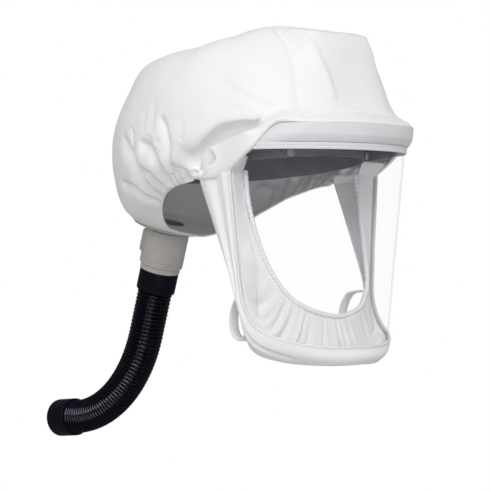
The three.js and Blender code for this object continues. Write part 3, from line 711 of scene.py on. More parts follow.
def ribbed_tube():
    """A tube along a path, whose wall swells and falls at a pitch, with its ends closed."""
    sizes = dict.fromkeys(("Radius", "Pitch", "Groove", "Sharpness", "Step"), "Float")
    tree, size = geometry_tree("ribbed_tube", {**sizes, "Sides": "Int"})
    path = add_node(tree, "GeometryNodeMeshToCurve", {"Mesh": size["Geometry"]}).outputs[0]
    even = add_node(tree, "GeometryNodeResampleCurve", {"Curve": path, "Length": size["Step"]}, mode="LENGTH")
    along = add_node(tree, "GeometryNodeSplineParameter").outputs["Length"]
    turns = calc(tree, "DIVIDE", along, size["Pitch"])
    wave = calc(tree, "SINE", calc(tree, "MULTIPLY", turns, math.pi))
    hollow = calc(tree, "SUBTRACT", 1.0, calc(tree, "ABSOLUTE", wave))
    depth = calc(tree, "MULTIPLY", calc(tree, "POWER", hollow, size["Sharpness"]), size["Groove"])
    radius = calc(tree, "SUBTRACT", size["Radius"], depth)
    ring = add_node(tree, "GeometryNodeCurvePrimitiveCircle", {"Resolution": size["Sides"], "Radius": 1.0})
    sweep = {"Curve": even.outputs[0], "Profile Curve": ring.outputs[0], "Scale": radius, "Fill Caps": True}
    tube = add_node(tree, "GeometryNodeCurveToMesh", sweep)
    return coated(tree, tube.outputs[0], size["Material"])


RIBBED_TUBE = ribbed_tube()


def baked(piece):
    """The piece keeps what its modifiers make, as a plain mesh."""
    graph = bpy.context.evaluated_depsgraph_get()
    made = bpy.data.meshes.new_from_object(piece.evaluated_get(graph), depsgraph=graph)
    piece.modifiers.clear()
    piece.data = made


def along_paths(name, paths, tree, values):
    """A plain mesh that a geometry tree makes along paths of points in millimetres."""
    points, edges = [], []
    for path in paths:
        edges += [(len(points) + k, len(points) + k + 1) for k in range(len(path) - 1)]
        points += [tuple(np.asarray(p) * MM) for p in path]
    mesh = bpy.data.meshes.new(name)
    mesh.from_pydata(points, edges, [])
    piece = placed(name, mesh)
    maker = piece.modifiers.new("maker", "NODES")
    maker.node_group = tree
    for socket in tree.interface.items_tree:
        if socket.in_out == "INPUT" and socket.name in values:
            maker[socket.identifier] = values[socket.name]
    baked(piece)
    piece.data.name = name
    piece.data.shade_smooth()
    return piece


def ribbed(name, path, size, material):
    """A ribbed tube along a path, from its sizes in millimetres."""
    values = {key.capitalize(): size[key] * MM for key in ("radius", "pitch", "groove", "step")}
    values.update({"Sharpness": size["sharpness"], "Sides": size["sides"], "Material": material})
    return along_paths(name, [path], RIBBED_TUBE, values)


elastic_cover = cloth("elastic_cover", (0.86, 0.86, 0.885), roughness=0.8, crumple=0.8)
elastic_line = [seal_path(t) for t in np.linspace(0, 1, ELASTIC_STATIONS)]
elastic = ribbed("ruffled_elastic", elastic_line, ELASTIC, elastic_cover)
fit(elastic, "elastic", "face_elastic")

# Cheek skirt: the cloth border of the visor, folded over the film's edge and sewn through it. It
# hangs free at the sides and turns under at the bottom in a soft roll.
SKIRT = {"laps": (2.5, 1.6, 0.6, -1.0), "across": 34, "steps": 420, "bow_end": 0.85}
SKIRT_TOP = {"rise": 9.0, "inward": 2.5, "rows": 6}
# Soft folds down each cheek: share of the way back from the film, half-width, height
CHEEK_FOLDS = ((0.10, 0.08, 1.1), (0.34, 0.12, -1.3), (0.58, 0.12, 0.9))
REAR_CURL = {"from": 0.74, "depth": 6.0, "cheek_end": 0.20, "fade": 0.05}
CHIN_GROOVE = {"from": 0.255, "to": 0.39, "start": 0.43, "end": 0.72, "half_width": 0.075, "depth": 3.2}
CHIN_GROOVE_ENDS = 4.0


def skirt_line(t, rise):
    """One line across the skirt, from its lap on the film to its free edge; rise tucks it up."""
    row = station(t)
    s = np.linspace(0, 1, SKIRT["across"] + 1)[1:, None]
    laps = np.array([near_edge(t, inset, FILM + GAP + CLOTH) for inset in SKIRT["laps"]])
    edge = laps[-1]
    free = np.array([-row["free_x"], row["free_y"], row["free_z"]])
    middle = (edge + free) / 2
    out = np.array([middle[0], middle[1] - visor_plan(0.0)[2], 0.0])
    out /= np.linalg.norm(out)
    bow = out * row["bulge"] * np.sin(np.pi * s * SKIRT["bow_end"])
    line = np.concatenate([laps, edge * (1 - s) + free * s + bow])
    return line + rise * (np.array([0, 0, SKIRT_TOP["rise"]]) - out * SKIRT_TOP["inward"])


def skirt_folds(t):
    """How far one line of the skirt stands out: cheek folds, a curled rear edge and a chin groove."""
    s = np.concatenate([np.zeros(len(SKIRT["laps"])), np.linspace(0, 1, SKIRT["across"] + 1)[1:]])
    from_temple = min(t, 1 - t)
    cheek = eased((REAR_CURL["cheek_end"] - from_temple) / REAR_CURL["fade"])
    curl = np.clip((s - REAR_CURL["from"]) / (1 - REAR_CURL["from"]), 0, 1) ** 2
    depth = -REAR_CURL["depth"] * cheek * curl
    for place, half_width, height in CHEEK_FOLDS:
        depth += height * cheek * np.exp(-(((s - place) / half_width) ** 2))
    share = (from_temple - CHIN_GROOVE["from"]) / (CHIN_GROOVE["to"] - CHIN_GROOVE["from"])
    level = CHIN_GROOVE["start"] + (CHIN_GROOVE["end"] - CHIN_GROOVE["start"]) * share
    shown = eased(CHIN_GROOVE_ENDS * min(share, 1 - share))
    return depth - CHIN_GROOVE["depth"] * shown * np.exp(-(((s - level) / CHIN_GROOVE["half_width"]) ** 2))


hood_cloth = cloth("hood_cloth", (0.90, 0.90, 0.905), roughness=0.88, crumple=0.8)
cheek_skirt = draped(skirt_line, skirt_folds, SKIRT["steps"], SKIRT_TOP["rows"], start=1.0)
skirt = new_piece("visor_skirt", *cheek_skirt, hood_cloth)
solidify(skirt, CLOTH)
fit(skirt, "hood_cloth", "cheek_skirt")

# Skirt loops: a short strip of the same cloth folded to a loop behind each lower corner of the
# skirt, used to pull it into place.
LOOP = {"inner_x": 61.0, "outer_x": 71.3, "thickness": 1.5, "edge": 0.5, "steps": 60}
LOOP_ROUTE = [(-62, -110), (-51, -113), (-43, -127), (-45, -143), (-54, -148), (-63, -140)]


def skirt_loop(side):
    half = LOOP["thickness"] / 2
    section = chamfered(LOOP["inner_x"], LOOP["outer_x"], -half, half, LOOP["edge"])
    rows = []
    for t in np.linspace(0, 1, LOOP["steps"] + 1):
        y, z = through(LOOP_ROUTE, t, root=0.5)
        ahead, behind = (through(LOOP_ROUTE, at, root=0.5) for at in (min(1, t + NUDGE), max(0, t - NUDGE)))
        run = (ahead - behind) / np.linalg.norm(ahead - behind)
        rows.append([(side * x, y - run[1] * up, z + run[0] * up) for x, up in section])
    return bar(rows)


for side, word in SIDES:
    strip = new_piece(f"pull_loop_{word}", *skirt_loop(side), hood_cloth, sharp=60, closed=True)
    fit(strip, "hood_cloth", f"skirt_loop_{word}")

# Brow band: a stiff strip covered in cloth, bent round the top of the visor and tapered into the
# temples. Its face slopes out from a sharp upper edge to the hem below.
BROW_BASE = 1.0
# Rows of the brow from its foot up: height, distance outwards, angle of its ends
BROW_HEIGHT, BROW_OUTER, BROW_END = np.array([(12.5, 2.4, 71.5), (18, 5.2, 65.5), (28, 5.6, 57.5)]).T
BROW_TAPER = {"angle": 20.0, "end_angle": 1.0}
BROW_LAP = {"to": 15.5, "clear": 1.5}
BROW_GRID = {"along": 160, "up": 13, "crease": 0.35, "edge": 0.4}


def brow_band():
    height = np.interp(np.linspace(0, 1, BROW_GRID["up"]), [0, BROW_GRID["crease"], 1], BROW_HEIGHT)
    outer = np.interp(height, BROW_HEIGHT, BROW_OUTER)
    end = np.interp(height, BROW_HEIGHT, BROW_END)
    rows = []
    for share in np.linspace(1, -1, BROW_GRID["along"] + 1):
        fade = np.minimum(1, (end * (1 - abs(share)) + BROW_TAPER["end_angle"]) / BROW_TAPER["angle"])
        face = FILM + GAP + BROW_BASE + (outer - BROW_BASE) * fade
        face[[0, -1]] -= BROW_GRID["edge"]
        front = visor_point(share * end, height, face)
        over_hem = np.where(height < BROW_LAP["to"], BROW_LAP["clear"] * fade, 0)
        back = visor_point(share * end, height, FILM + GAP + over_hem)[::-1]
        rows.append(np.concatenate([front, back]))
    return bar(rows)


brow_cloth = cloth("brow_cloth", (0.78, 0.775, 0.80), roughness=0.8, crumple=0.3)
brow = new_piece("brow_strip", *brow_band(), brow_cloth, sharp=40, closed=True)
fit(brow, "brow_cloth", "brow_band")

# Binding: the narrow cloth hem under the brow that covers the film's upper edge, sewn through with
# one row of stitches that draw a groove in it.
BINDING = {"low": 6.5, "thickness": 1.2, "edge": 0.5, "under_brow": 1.5, "end_angle": 72.0, "steps": 160}
BINDING_GROOVE = {"rise": 2.9, "half_width": 0.5, "depth": 0.3, "fall": 0.2}
BINDING_ANGLES = np.linspace(BINDING["end_angle"], -BINDING["end_angle"], BINDING["steps"] + 1)


def binding():
    low, high = BINDING["low"], BROW_LAP["to"] - BINDING["under_brow"]
    thick, edge = BINDING["thickness"], BINDING["edge"]
    groove, beside = low + BINDING_GROOVE["rise"], BINDING_GROOVE["half_width"]
    loop = [(low, 0.0), (low, thick - edge), (low + edge, thick), (groove - beside, thick)]
    loop += [(groove, thick - BINDING_GROOVE["depth"]), (groove + beside, thick)]
    loop += [(high, thick - BINDING_GROOVE["fall"]), (high, 0.0)]
    return bar([[visor_point(a, height, FILM + GAP + out) for height, out in loop] for a in BINDING_ANGLES])


# The hem is the hood's white cloth painted greyer: painted shade for where it lies under the brow's overhang.
hem_cloth_with_painted_shade = cloth("hem_cloth_with_painted_shade", (0.80, 0.795, 0.81), roughness=0.85, crumple=1.0)
hem = new_piece("visor_hem", *binding(), hem_cloth_with_painted_shade, closed=True)
fit(hem, "hood_cloth", "visor_binding")

# Stitching: white thread in short stitches along the hem under the brow, and along the skirt's lap
# on the film. The stitches are small beads set at a pitch along those lines, painted grey for the shade round
# them.
STITCH = {"Pitch": 2.9, "Long": 0.95, "Thick": 0.5}
STITCH_LINE = {"sunk": 0.2, "lap_inset": 1.1, "lap_proud": 0.1, "steps": 400}


def stitch_row():
    """One stitch at each pitch along a path, lying along it."""
    tree, size = geometry_tree("stitch_row", dict.fromkeys(STITCH, "Float"))
    path = add_node(tree, "GeometryNodeMeshToCurve", {"Mesh": size["Geometry"]}).outputs[0]
    walk = {"Curve": path, "Length": size["Pitch"]}
    spots = add_node(tree, "GeometryNodeCurveToPoints", walk, mode="LENGTH").outputs
    bead = add_node(tree, "GeometryNodeMeshIcoSphere", {"Radius": 1.0, "Subdivisions": 1}).outputs["Mesh"]
    sizes = {"X": size["Thick"], "Y": size["Thick"], "Z": size["Long"]}
    scale = add_node(tree, "ShaderNodeCombineXYZ", sizes).outputs[0]
    sewn = {"Points": spots["Points"], "Instance": bead, "Rotation": spots["Rotation"], "Scale": scale}
    row = add_node(tree, "GeometryNodeInstanceOnPoints", sewn)
    return coated(tree, row.outputs[0], size["Material"])


# The white thread is painted grey: painted shade for the small shadows round each stitch.
thread = cloth("thread", (0.62, 0.62, 0.66), roughness=0.7, crumple=0.2)
hem_level = BINDING["low"] + BINDING_GROOVE["rise"]
hem_face = FILM + GAP + BINDING["thickness"] - STITCH_LINE["sunk"]
lap_face = FILM + GAP + CLOTH + STITCH_LINE["lap_proud"]
lap_steps = np.linspace(0, 1, STITCH_LINE["steps"] + 1)
hem_line = [visor_point(angle, hem_level, hem_face) for angle in BINDING_ANGLES]
lap_line = [near_edge(t, STITCH_LINE["lap_inset"], lap_face) for t in lap_steps]
sewing = {**{key: size * MM for key, size in STITCH.items()}, "Material": thread}
stitches = along_paths("hem_stitches", [hem_line, lap_line], stitch_row(), sewing)
fit(stitches, "hood_cloth")

# Crown: the white cloth cap, sewn from a front panel and two side panels over the headband. It is
# drawn tight at the brow, rolls over at the temples and gathers in deep folds behind them.
INLET = {"y": 112.0, "z": -50.0, "lean": 17.7, "bore": 14.0}
FLAT_CLOTH = {"radius": 33.4, "blend": 11.0, "reach": 30.0}
APEX = 111.5
# Azimuth, then radius and height of each row: top, rim, shoulder, belly, tuck, roll, hem and lip
CROWN = np.array([
    (0, 70, 110, 103.5, 102.5, 112, 75, 121, 43, 127, 39, 137, 34, 144, 30.5, 147.6, 28.1),
    (17, 72, 110.5, 105, 103, 115, 76, 124, 44, 128, 39, 136, 34, 142, 30.5, 145.3, 28.1),
    (28, 62, 113, 82.5, 108, 108.5, 77, 121, 46, 126, 38.5, 133, 34, 138.5, 30.5, 140.8, 28.1),
    (35.5, 58, 112.5, 80, 107.5, 106, 78, 118, 45.5, 121.5, 37, 129, 33.5, 135.3, 30.8, 134.4, 27.6),
    (46, 55, 110.5, 78, 104.5, 101.5, 78, 114.5, 33.5, 110.5, 25.5, 124.5, 18, 124.5, 8, 120.5, 5.5),
    (60, 54, 106, 77, 99, 97, 76, 107, 31, 98.5, 20.5, 106, 2, 105, -12, 101, -15),
    (68, 54, 104.5, 78, 97, 96.5, 74, 105.5, 23.5, 96, 10.5, 102, -4, 100.5, -15.5, 97, -17.5),
    (76, 54, 103, 79, 95, 96, 72, 104, 17, 95.5, -1, 97, -9.5, 93.5, -15.5, 89.5, -17),
    (90, 55, 100, 80, 91, 96, 68, 104.5, 24, 101, -2, 92, -12.5, 84.5, -18, 81, -18.5),
    (110, 58, 98, 84, 89.5, 99, 66, 108, 27, 105, -8, 95, -20, 84.5, -25, 81, -25.5),
    (130, 62, 96, 90.5, 87.5, 105.5, 66, 117.5, 26, 112, -18, 100.5, -34, 84, -40, 80.5, -40.5),
    (150, 66, 95, 100.5, 86.5, 114.5, 65, 131, 23, 126.5, -25, 114.5, -44, 82, -55, 78.5, -55.5),
    (180, 70, 94, 109, 86.5, 121, 65, 146, 22, 145, -29, 131, -44, 74, -62, 70.5, -62.5),
], float)
# Steps of the mesh from each row to the next, and columns up to each azimuth
CROWN_STEPS = (8, 12, 14, 24, 28, 22, 18, 5)
CROWN_SPACING = ((20, 14), (75, 62), (135, 88), (180, 24))
# Creases on each side: half-width to the left and to the right of the line, depth (a ridge is
# negative), steepness, and the places that the line runs through, as azimuth and row
CREASES = {
    "gather_back": (2.6, 7.0, 5.5, 1.5, [(125.5, 4.05), (119, 4.35), (115, 4.65), (114, 5.2), (117, 7.2)]),
    "gather_back_top": (1.8, 3.5, 2.2, 1.5, [(117, 3.9), (115, 4.15), (115, 4.5)]),
    "gather_ear": (2.8, 7.5, 7.0, 1.5, [(110, 4.3), (104, 4.35), (99, 4.6), (97.5, 5.1), (101, 7.4)]),
    "gather_mid": (3.0, 5.0, 5.0, 1.5, [(115, 4.85), (111, 5.0), (107.5, 5.4), (108.5, 7.4)]),
    "gather_low": (3.0, 5.0, 4.6, 1.5, [(134.5, 4.9), (128.5, 5.05), (124, 5.45), (122, 7.4)]),
    "gather_front": (2.2, 5.5, 4.0, 1.5, [(95, 3.7), (90, 3.9), (88, 4.4), (89.5, 4.8), (96, 7.2)]),
    "pucker": (1.4, 2.5, 1.2, 1.5, [(103.5, 4.15), (101, 4.2), (99.5, 4.4)]),
    "dimple": (1.6, 2.0, 1.2, 1.5, [(98, 4.35), (93.5, 4.28)]),
    "ear_hollow": (8.0, 7.0, 3.4, 1.6, [(82.5, 8.0), (83, 6.7), (85.5, 5.8), (92, 5.3)]),
    "soft_side": (2.0, 5.0, 0.8, 1.5, [(81, 3.65), (79, 3.85), (80, 4.15)]),
    "soft_back": (2.0, 4.0, 0.8, 1.5, [(106, 3.6), (106, 4.05)]),
    "soft_ear": (2.0, 5.0, 0.8, 1.5, [(99, 3.4), (99, 4.1)]),
    "tuck": (2.8, 7.5, 7.4, 1.4, [
        (41, 5.4), (46, 5.1), (55, 5.25), (64, 5.2), (72, 4.95), (75, 5.3), (76, 6.0), (76.5, 6.8), (77, 8),
    ]),
    "tuck_rim": (1.8, 8.0, -3.4, 1.5, [
        (41, 5.3), (44, 4.35), (50, 4.1), (61.5, 4.2), (72, 4.45), (76.5, 4.8),
    ]),
    "roll_crest": (3.4, 3.4, -2.8, 1.5, [(43.5, 5.95), (51.5, 5.65), (62.5, 5.5), (72, 5.15)]),
    "pleat": (4.4, 4.2, 9.0, 3.0, [(75, 6.3), (70, 6.0), (66.5, 5.9), (63, 5.8)]),
    "pleat_lip": (1.8, 1.8, -1.8, 1.5, [(73, 5.45), (69, 5.3), (65.5, 5.4), (62, 5.75)]),
    "pleat_under": (1.8, 1.8, -1.8, 1.5, [(62, 5.95), (64.5, 6.25), (69, 6.4), (75, 6.6)]),
    "hem_pucker_a": (1.5, 2.5, 1.6, 1.5, [(94, 5.8), (95.5, 7.6)]),
    "hem_pucker_b": (1.5, 2.5, 1.8, 1.5, [(84, 5.5), (85.5, 7.6)]),
    "hem_pucker_c": (1.5, 2.5, 1.8, 1.5, [(89, 5.7), (91, 7.6)]),
    "tension_high": (5.0, 8.0, -1.8, 1.5, [(28, 6.7), (34, 4.4), (44, 3.6), (52.5, 3.35), (59, 3.15)]),
    "tension_mid": (4.0, 5.0, 1.2, 1.5, [(29.5, 6.25), (35.5, 4.7), (45, 3.7), (53, 3.5)]),
    "tension_low": (4.0, 6.0, -1.3, 1.5, [(29, 7.0), (36, 5.05), (46, 3.75), (53, 3.65)]),
    "front_seam": (1.2, 2.0, 2.4, 1.5, [
        (0, 0.93), (15, 1.05), (32, 1.95), (28, 2.6), (28, 3.1), (26.5, 5.75),
    ]),
    "front_fold": (2.0, 8.0, -3.4, 1.5, [(26, 1.9), (22, 2.2), (19, 2.5), (14, 3.4), (12, 3.9)]),
    "front_edge": (2.4, 2.4, -1.5, 1.5, [(-5, 2.0), (8, 2.0), (17, 2.0), (23, 2.0)]),
    "shelf": (2.0, 2.4, 2.6, 1.5, [
        (28.5, 6.95), (26, 6.15), (20, 5.5), (13, 5.15), (4.5, 4.85), (0, 4.8),
    ]),
}
NEAR_SIDE_ONLY = ("front_fold",)
CREASE_END = 0.2
CREASE_POINTS = 4
# Slight rumple of the cloth: size of its bumps, depth
RUMPLE = ((38.0, 0.8), (15.0, 0.3))


def leaning(lean):
    """A direction in the mid-plane that leans back from straight down by an angle."""
    return np.array([0.0, math.sin(math.radians(lean)), -math.cos(math.radians(lean))])


INLET_SEAT = np.array([0.0, INLET["y"], INLET["z"]])
INLET_AXIS = leaning(INLET["lean"])


def crown_rows():
    """Points of the cloth's outer face: rows from the apex to the hem, columns by azimuth."""
    half = [0.0]
    for up_to, steps in CROWN_SPACING:
        half += list(np.linspace(half[-1], up_to, steps + 1)[1:])
    azimuth = np.array([-a for a in half[:0:-1]] + half[:-1])
    count = len(azimuth)
    table = graded(CROWN[:, 0], CROWN[:, 1:], np.abs(azimuth)).reshape(count, len(CROWN_STEPS), 2)
    knots = np.concatenate([np.full((1, count, 2), (0.0, APEX)), table.transpose(1, 0, 2)])
    places = [0.0] + [k + (i + 1) / n for k, n in enumerate(CROWN_STEPS) for i in range(n)]
    turn = np.radians(azimuth)
    rows = []
    for place in places:
        radius, height = through(knots, place / len(CROWN_STEPS), root=0.5).T
        rows.append(np.stack([-radius * np.sin(turn), -radius * np.cos(turn), height], axis=-1))
    return azimuth, np.array(places), np.array(rows)


def from_inlet(points):
    """How far points lie along the inlet's axis, and their offset and distance from that axis."""
    offset = points - INLET_SEAT
    along = offset @ INLET_AXIS
    spoke = offset - along[..., None] * INLET_AXIS
    return along, spoke, np.linalg.norm(spoke, axis=-1)


def flattened(points):
    """The cloth lies flat where the inlet's flange clamps it."""
    along, spoke, radius = from_inlet(points)
    share = eased(1 - (radius - FLAT_CLOTH["radius"]) / FLAT_CLOTH["blend"])
    return points - (along * share * (np.abs(along) <= FLAT_CLOTH["reach"]))[..., None] * INLET_AXIS


def nearest(points, path):
    """Each point's offset from a path, the path's direction there, and the share of its length."""
    best = np.full(points.shape[:-1], np.inf)
    share = np.zeros_like(best)
    offset, heading = np.zeros_like(points), np.zeros_like(points)
    for k, (start, end) in enumerate(zip(path[:-1], path[1:])):
        run = end - start
        s = np.clip((points - start) @ run / (run @ run), 0, 1)
        away = points - start - s[..., None] * run
        distance = np.linalg.norm(away, axis=-1)
        closer = distance < best
        best = np.where(closer, distance, best)
        share = np.where(closer, (k + s) / (len(path) - 1), share)
        offset = np.where(closer[..., None], away, offset)
        heading = np.where(closer[..., None], run / np.linalg.norm(run), heading)
    return offset, heading, share


def on_crown(azimuth, row):
    """The point of the crown at an azimuth and a row."""
    i = np.interp(row, places, np.arange(len(places)))
    j = np.interp(azimuth, azimuths, np.arange(len(azimuths)))
    i0, j0 = min(int(i), len(places) - 2), min(int(j), len(azimuths) - 2)
    u, v = i - i0, j - j0
    near = crown_base[i0, j0] * (1 - v) + crown_base[i0, j0 + 1] * v
    far = crown_base[i0 + 1, j0] * (1 - v) + crown_base[i0 + 1, j0 + 1] * v
    return near * (1 - u) + far * u


def creased(points):
    """The creases and a slight rumple, drawn into the cloth along its normals."""
    out = -grid_normals(points, closed=True)
    out[0] = (0, 0, 1)
    depth = np.zeros(points.shape[:2])
    for name, (left, right, deep, curve, route) in CREASES.items():
        stops = np.arange(len(route))
        fine = np.linspace(0, len(route) - 1, CREASE_POINTS * len(route))
        places_along = graded(stops, route, fine)
        for side in (1,) if name in NEAR_SIDE_ONLY else (-1, 1):
            path = np.array([on_crown(side * a, row) for a, row in places_along])
            offset, heading, share = nearest(points, path)
            beside = np.einsum("ijk,ijk->ij", np.cross(out, heading), offset) * side
            distance = np.linalg.norm(offset, axis=-1) / np.where(beside > 0, left, right)
            depth += deep * np.exp(-(distance**curve)) * eased(np.minimum(share, 1 - share) / CREASE_END)
    for size, deep in RUMPLE:
        depth += deep * np.array([[noise.noise(Vector(p) / size) for p in row] for row in points])
    return points - out * depth[..., None]


def cut_for_duct(points, faces):
    """The faces over the air duct go, and the cloth's edge there is drawn out to a circle."""
    along, spoke, radius = from_inlet(points)
    inside = (radius < INLET["bore"]) & (np.abs(along) < FLAT_CLOTH["reach"])
    points = points + np.where(inside, INLET["bore"] / np.maximum(radius, TINY) - 1, 0)[:, None] * spoke
    return points, faces[~inside[faces].all(axis=1)]


azimuths, places, crown_base = crown_rows()
crown_points = flattened(creased(crown_base))
crown_faces = row_faces(*crown_points.shape[:2], loop_columns=True)[:, ::-1]
crown = new_piece("cloth_crown", *cut_for_duct(crown_points.reshape(-1, 3), crown_faces), hood_cloth)
solidify(crown, CLOTH)
fit(crown, "hood_cloth", "crown")

# Inlet: a warm grey moulded flange that clamps the nape cloth, with a socket below it that takes
# the hose. Both are turned shapes, and a pocket for the button is cut in the back of the socket.
FLANGE = {"radius": 33.0, "thickness": 2.5, "bore": 15.5, "corner": 0.9}
SOCKET = {"length": 42.0, "barrel": 20.0, "corner": 0.5}
SOCKET_GROOVES = {"at": (31.0, 33.6), "depth": 0.5, "slope": 0.2, "width": 0.9}
# The socket's neck and its lip: radius, and length from the top
SOCKET_NECK = [(18.5, 0), (18.5, 3.2), (19.6, 3.4), (20, 4)]
SOCKET_LIP = [(20, 35.6), (18.6, 37.4), (18, 37.4), (18, 38.4), (18.4, 38.6), (18.4, 41.4), (17.8, 42)]
SOCKET_TOP = FLANGE["thickness"] + 2 * GAP
BUTTON = {"width": 20.0, "height": 22.0, "from": 8.0, "floor": 16.2, "outer": 23.0, "corner": 3.0}
BUTTON_MIDDLE = SOCKET_TOP + BUTTON["from"] + BUTTON["height"] / 2
TURNED = {"sides": 128, "sharp": 50}
PLATE_ARC = 5
BACK = np.array([0.0, -INLET_AXIS[2], INLET_AXIS[1]])
ACROSS = np.array([1.0, 0.0, 0.0])


def turned_piece(name, outline, corner, seat, axis, material):
    """A closed turned piece with rounded corners."""
    shape = turned(rounded(outline, corner), seat, axis, TURNED["sides"])
    return new_piece(name, *shape, material, sharp=TURNED["sharp"], closed=True)


def sleeve(bore, radius, start, end):
    """Outline of a plain ring: radius and length along the axis."""
    return [(bore, start), (radius, start), (radius, end), (bore, end)]


def plate(levels, half_wide, half_tall, corner):
    """A rounded plate on the back of the socket, from (distance from the axis, inset) levels."""
    shift = 2 * half_wide
    outline = rounded(sleeve(shift - half_wide, shift + half_wide, -half_tall, half_tall), corner, PLATE_ARC)
    rows = []
    for depth, inset in levels:
        wide, tall = 1 - inset / half_wide, 1 - inset / half_tall
        seat = INLET_SEAT + INLET_AXIS * BUTTON_MIDDLE + BACK * depth
        rows.append([seat + ACROSS * (p.x - shift) * wide + INLET_AXIS * p.y * tall for p in outline])
    return bar(rows)


inlet_plastic = moulded("inlet_plastic", (0.50, 0.478, 0.455), roughness=0.42, mottle=0.25, relief=0.12)
flange_shape = sleeve(FLANGE["bore"], FLANGE["radius"], GAP, GAP + FLANGE["thickness"])
flange = turned_piece("nape_flange", flange_shape, FLANGE["corner"], INLET_SEAT, INLET_AXIS, inlet_plastic)
fit(flange, "inlet_plastic", "inlet_flange")

socket_shape = [(INLET["bore"], 0), *SOCKET_NECK]
for start in SOCKET_GROOVES["at"]:
    end, slope = start + SOCKET_GROOVES["width"], SOCKET_GROOVES["slope"]
    floor_radius = SOCKET["barrel"] - SOCKET_GROOVES["depth"]
    socket_shape += [(SOCKET["barrel"], start), (floor_radius, start + slope)]
    socket_shape += [(floor_radius, end - slope), (SOCKET["barrel"], end)]
socket_shape += [*SOCKET_LIP, (INLET["bore"], SOCKET["length"])]
socket_shape = [(radius, SOCKET_TOP + along) for radius, along in socket_shape]
socket = turned_piece("hose_socket", socket_shape, SOCKET["corner"], INLET_SEAT, INLET_AXIS, inlet_plastic)
pocket_levels = [(BUTTON["floor"], 0.0), (2 * BUTTON["outer"], 0.0)]
pocket_sizes = [BUTTON["width"] / 2 + GAP, BUTTON["height"] / 2 + GAP, BUTTON["corner"] + GAP]
pocket = new_piece("button_pocket", *plate(pocket_levels, *pocket_sizes), inlet_plastic, closed=True)
socket.modifiers.new("pocket", "BOOLEAN").object = pocket
baked(socket)
bpy.data.objects.remove(pocket)
fit(socket, "inlet_plastic", "inlet_socket")

# Release button: a small plate in the back of the socket, pressed in to free the hose. It is
# moulded in the same grey plastic, with a raised rim and raised rings on its face.
BUTTON_FACE = 22.3
# Steps of the rim: distance from the inlet's axis, and how far the outline is drawn in
BUTTON_RIM = [(18.6, 0.0), (22.0, 0.0), (22.7, 0.3), (23.0, 1.0), (23.0, 1.8), (BUTTON_FACE, 2.3)]
BUTTON_RINGS = {"count": 4, "first": 3.0, "pitch": 1.7, "height": 0.5, "slope": 0.4, "width": 1.3}

button_plastic = moulded("button_plastic", (0.45, 0.43, 0.408), roughness=0.4, mottle=0.25, relief=0.12)
button_levels = list(BUTTON_RIM)
for ring in range(BUTTON_RINGS["count"]):
    start = BUTTON_RINGS["first"] + BUTTON_RINGS["pitch"] * ring
    end, slope = start + BUTTON_RINGS["width"], BUTTON_RINGS["slope"]
    crest = BUTTON_FACE + BUTTON_RINGS["height"]
    button_levels += [(BUTTON_FACE, start), (crest, start + slope), (crest, end - slope), (BUTTON_FACE, end)]
button_shape = plate(button_levels, BUTTON["width"] / 2, BUTTON["height"] / 2, BUTTON["corner"])
button = new_piece("press_button", *button_shape, button_plastic, sharp=50, closed=True)
fit(button, "button_plastic", "release_button", body="button")

# Hose cuffs: smooth satin black sleeves, one pushed into the socket and one at the free end. The
# hose is moulded on to both.
CUFF = {"radius": 17.9, "length": 20.0, "chamfer": 1.5, "corner": 0.6}
END_CUFF = {"radius": 18.0, "length": 24.0, "wall": 3.0, "depth": 18.0, "corner": 0.8}
HOSE_RUN = {"straight": 42.0, "bend_radius": 122.0, "end_lean": 84.0, "stations": 61}
CUFF_TOP = SOCKET_TOP + SOCKET["length"] + GAP
CUFF_FOOT = CUFF_TOP + CUFF["length"]
HOSE_START = INLET_SEAT + INLET_AXIS * (CUFF_FOOT + GAP)
HOSE_BEND = math.radians(HOSE_RUN["end_lean"] - INLET["lean"])
HOSE_LENGTH = HOSE_RUN["straight"] + HOSE_RUN["bend_radius"] * HOSE_BEND
END_AXIS = leaning(HOSE_RUN["end_lean"])


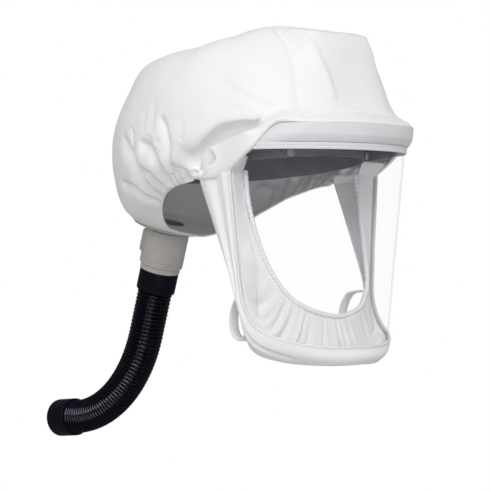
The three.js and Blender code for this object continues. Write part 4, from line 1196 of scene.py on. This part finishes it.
def hose_point(run):
    """A place on the hose's middle line: straight below the cuff, then one bend to the back."""
    lean = math.radians(INLET["lean"])
    turned_to = lean + max(0.0, run - HOSE_RUN["straight"]) / HOSE_RUN["bend_radius"]
    bend = np.array([0.0, math.cos(lean) - math.cos(turned_to), math.sin(lean) - math.sin(turned_to)])
    return HOSE_START + INLET_AXIS * min(run, HOSE_RUN["straight"]) + bend * HOSE_RUN["bend_radius"]


cuff_gloss = {"Specular IOR Level": 0.3, "Specular Tint": (0.80, 0.68, 1.0, 1.0)}
cuff_plastic = moulded(
    "cuff_plastic", (0.005, 0.004, 0.0085), roughness=0.36, mottle=0.3, relief=0.12, specular=cuff_gloss
)
cuff_shape = sleeve(INLET["bore"], CUFF["radius"], CUFF_TOP, CUFF_FOOT - CUFF["chamfer"])
cuff_shape[3:] = [(CUFF["radius"] - CUFF["chamfer"], CUFF_FOOT), (INLET["bore"], CUFF_FOOT)]
cuff = turned_piece("upper_cuff", cuff_shape, CUFF["corner"], INLET_SEAT, INLET_AXIS, cuff_plastic)
fit(cuff, "cuff_plastic", "hose_cuff")

end_bore = END_CUFF["radius"] - END_CUFF["wall"]
end_floor = END_CUFF["length"] - END_CUFF["depth"]
end_shape = [(0, end_floor), (end_bore, end_floor), (end_bore, END_CUFF["length"])]
end_shape += [(END_CUFF["radius"], END_CUFF["length"]), (END_CUFF["radius"], 0), (0, 0)]
end_seat = hose_point(HOSE_LENGTH) + END_AXIS * GAP
end_cuff = turned_piece("end_cuff", end_shape, END_CUFF["corner"], end_seat, END_AXIS, cuff_plastic)
fit(end_cuff, "cuff_plastic", "hose_end_cuff")

# Breathing hose: a corrugated tube of glossy black rubber, moulded with even round ribs. It hangs
# from the cuff and bends away to the back.
HOSE = {"radius": 16.0, "pitch": 3.7, "groove": 1.9, "sharpness": 1.0, "step": 0.37, "sides": 56}
hose_gloss = {"Specular IOR Level": 0.5, "Specular Tint": (0.86, 0.74, 1.0, 1.0)}
hose_black = (0.0022, 0.0016, 0.0045)
hose_rubber = moulded(
    "hose_rubber", hose_black, roughness=0.14, mottle=0.3, relief=0.06, grain=900.0, specular=hose_gloss
)
hose_line = [hose_point(run) for run in np.linspace(0, HOSE_LENGTH, HOSE_RUN["stations"])]
hose = ribbed("breathing_hose", hose_line, HOSE, hose_rubber)
fit(hose, "hose_rubber", "hose")
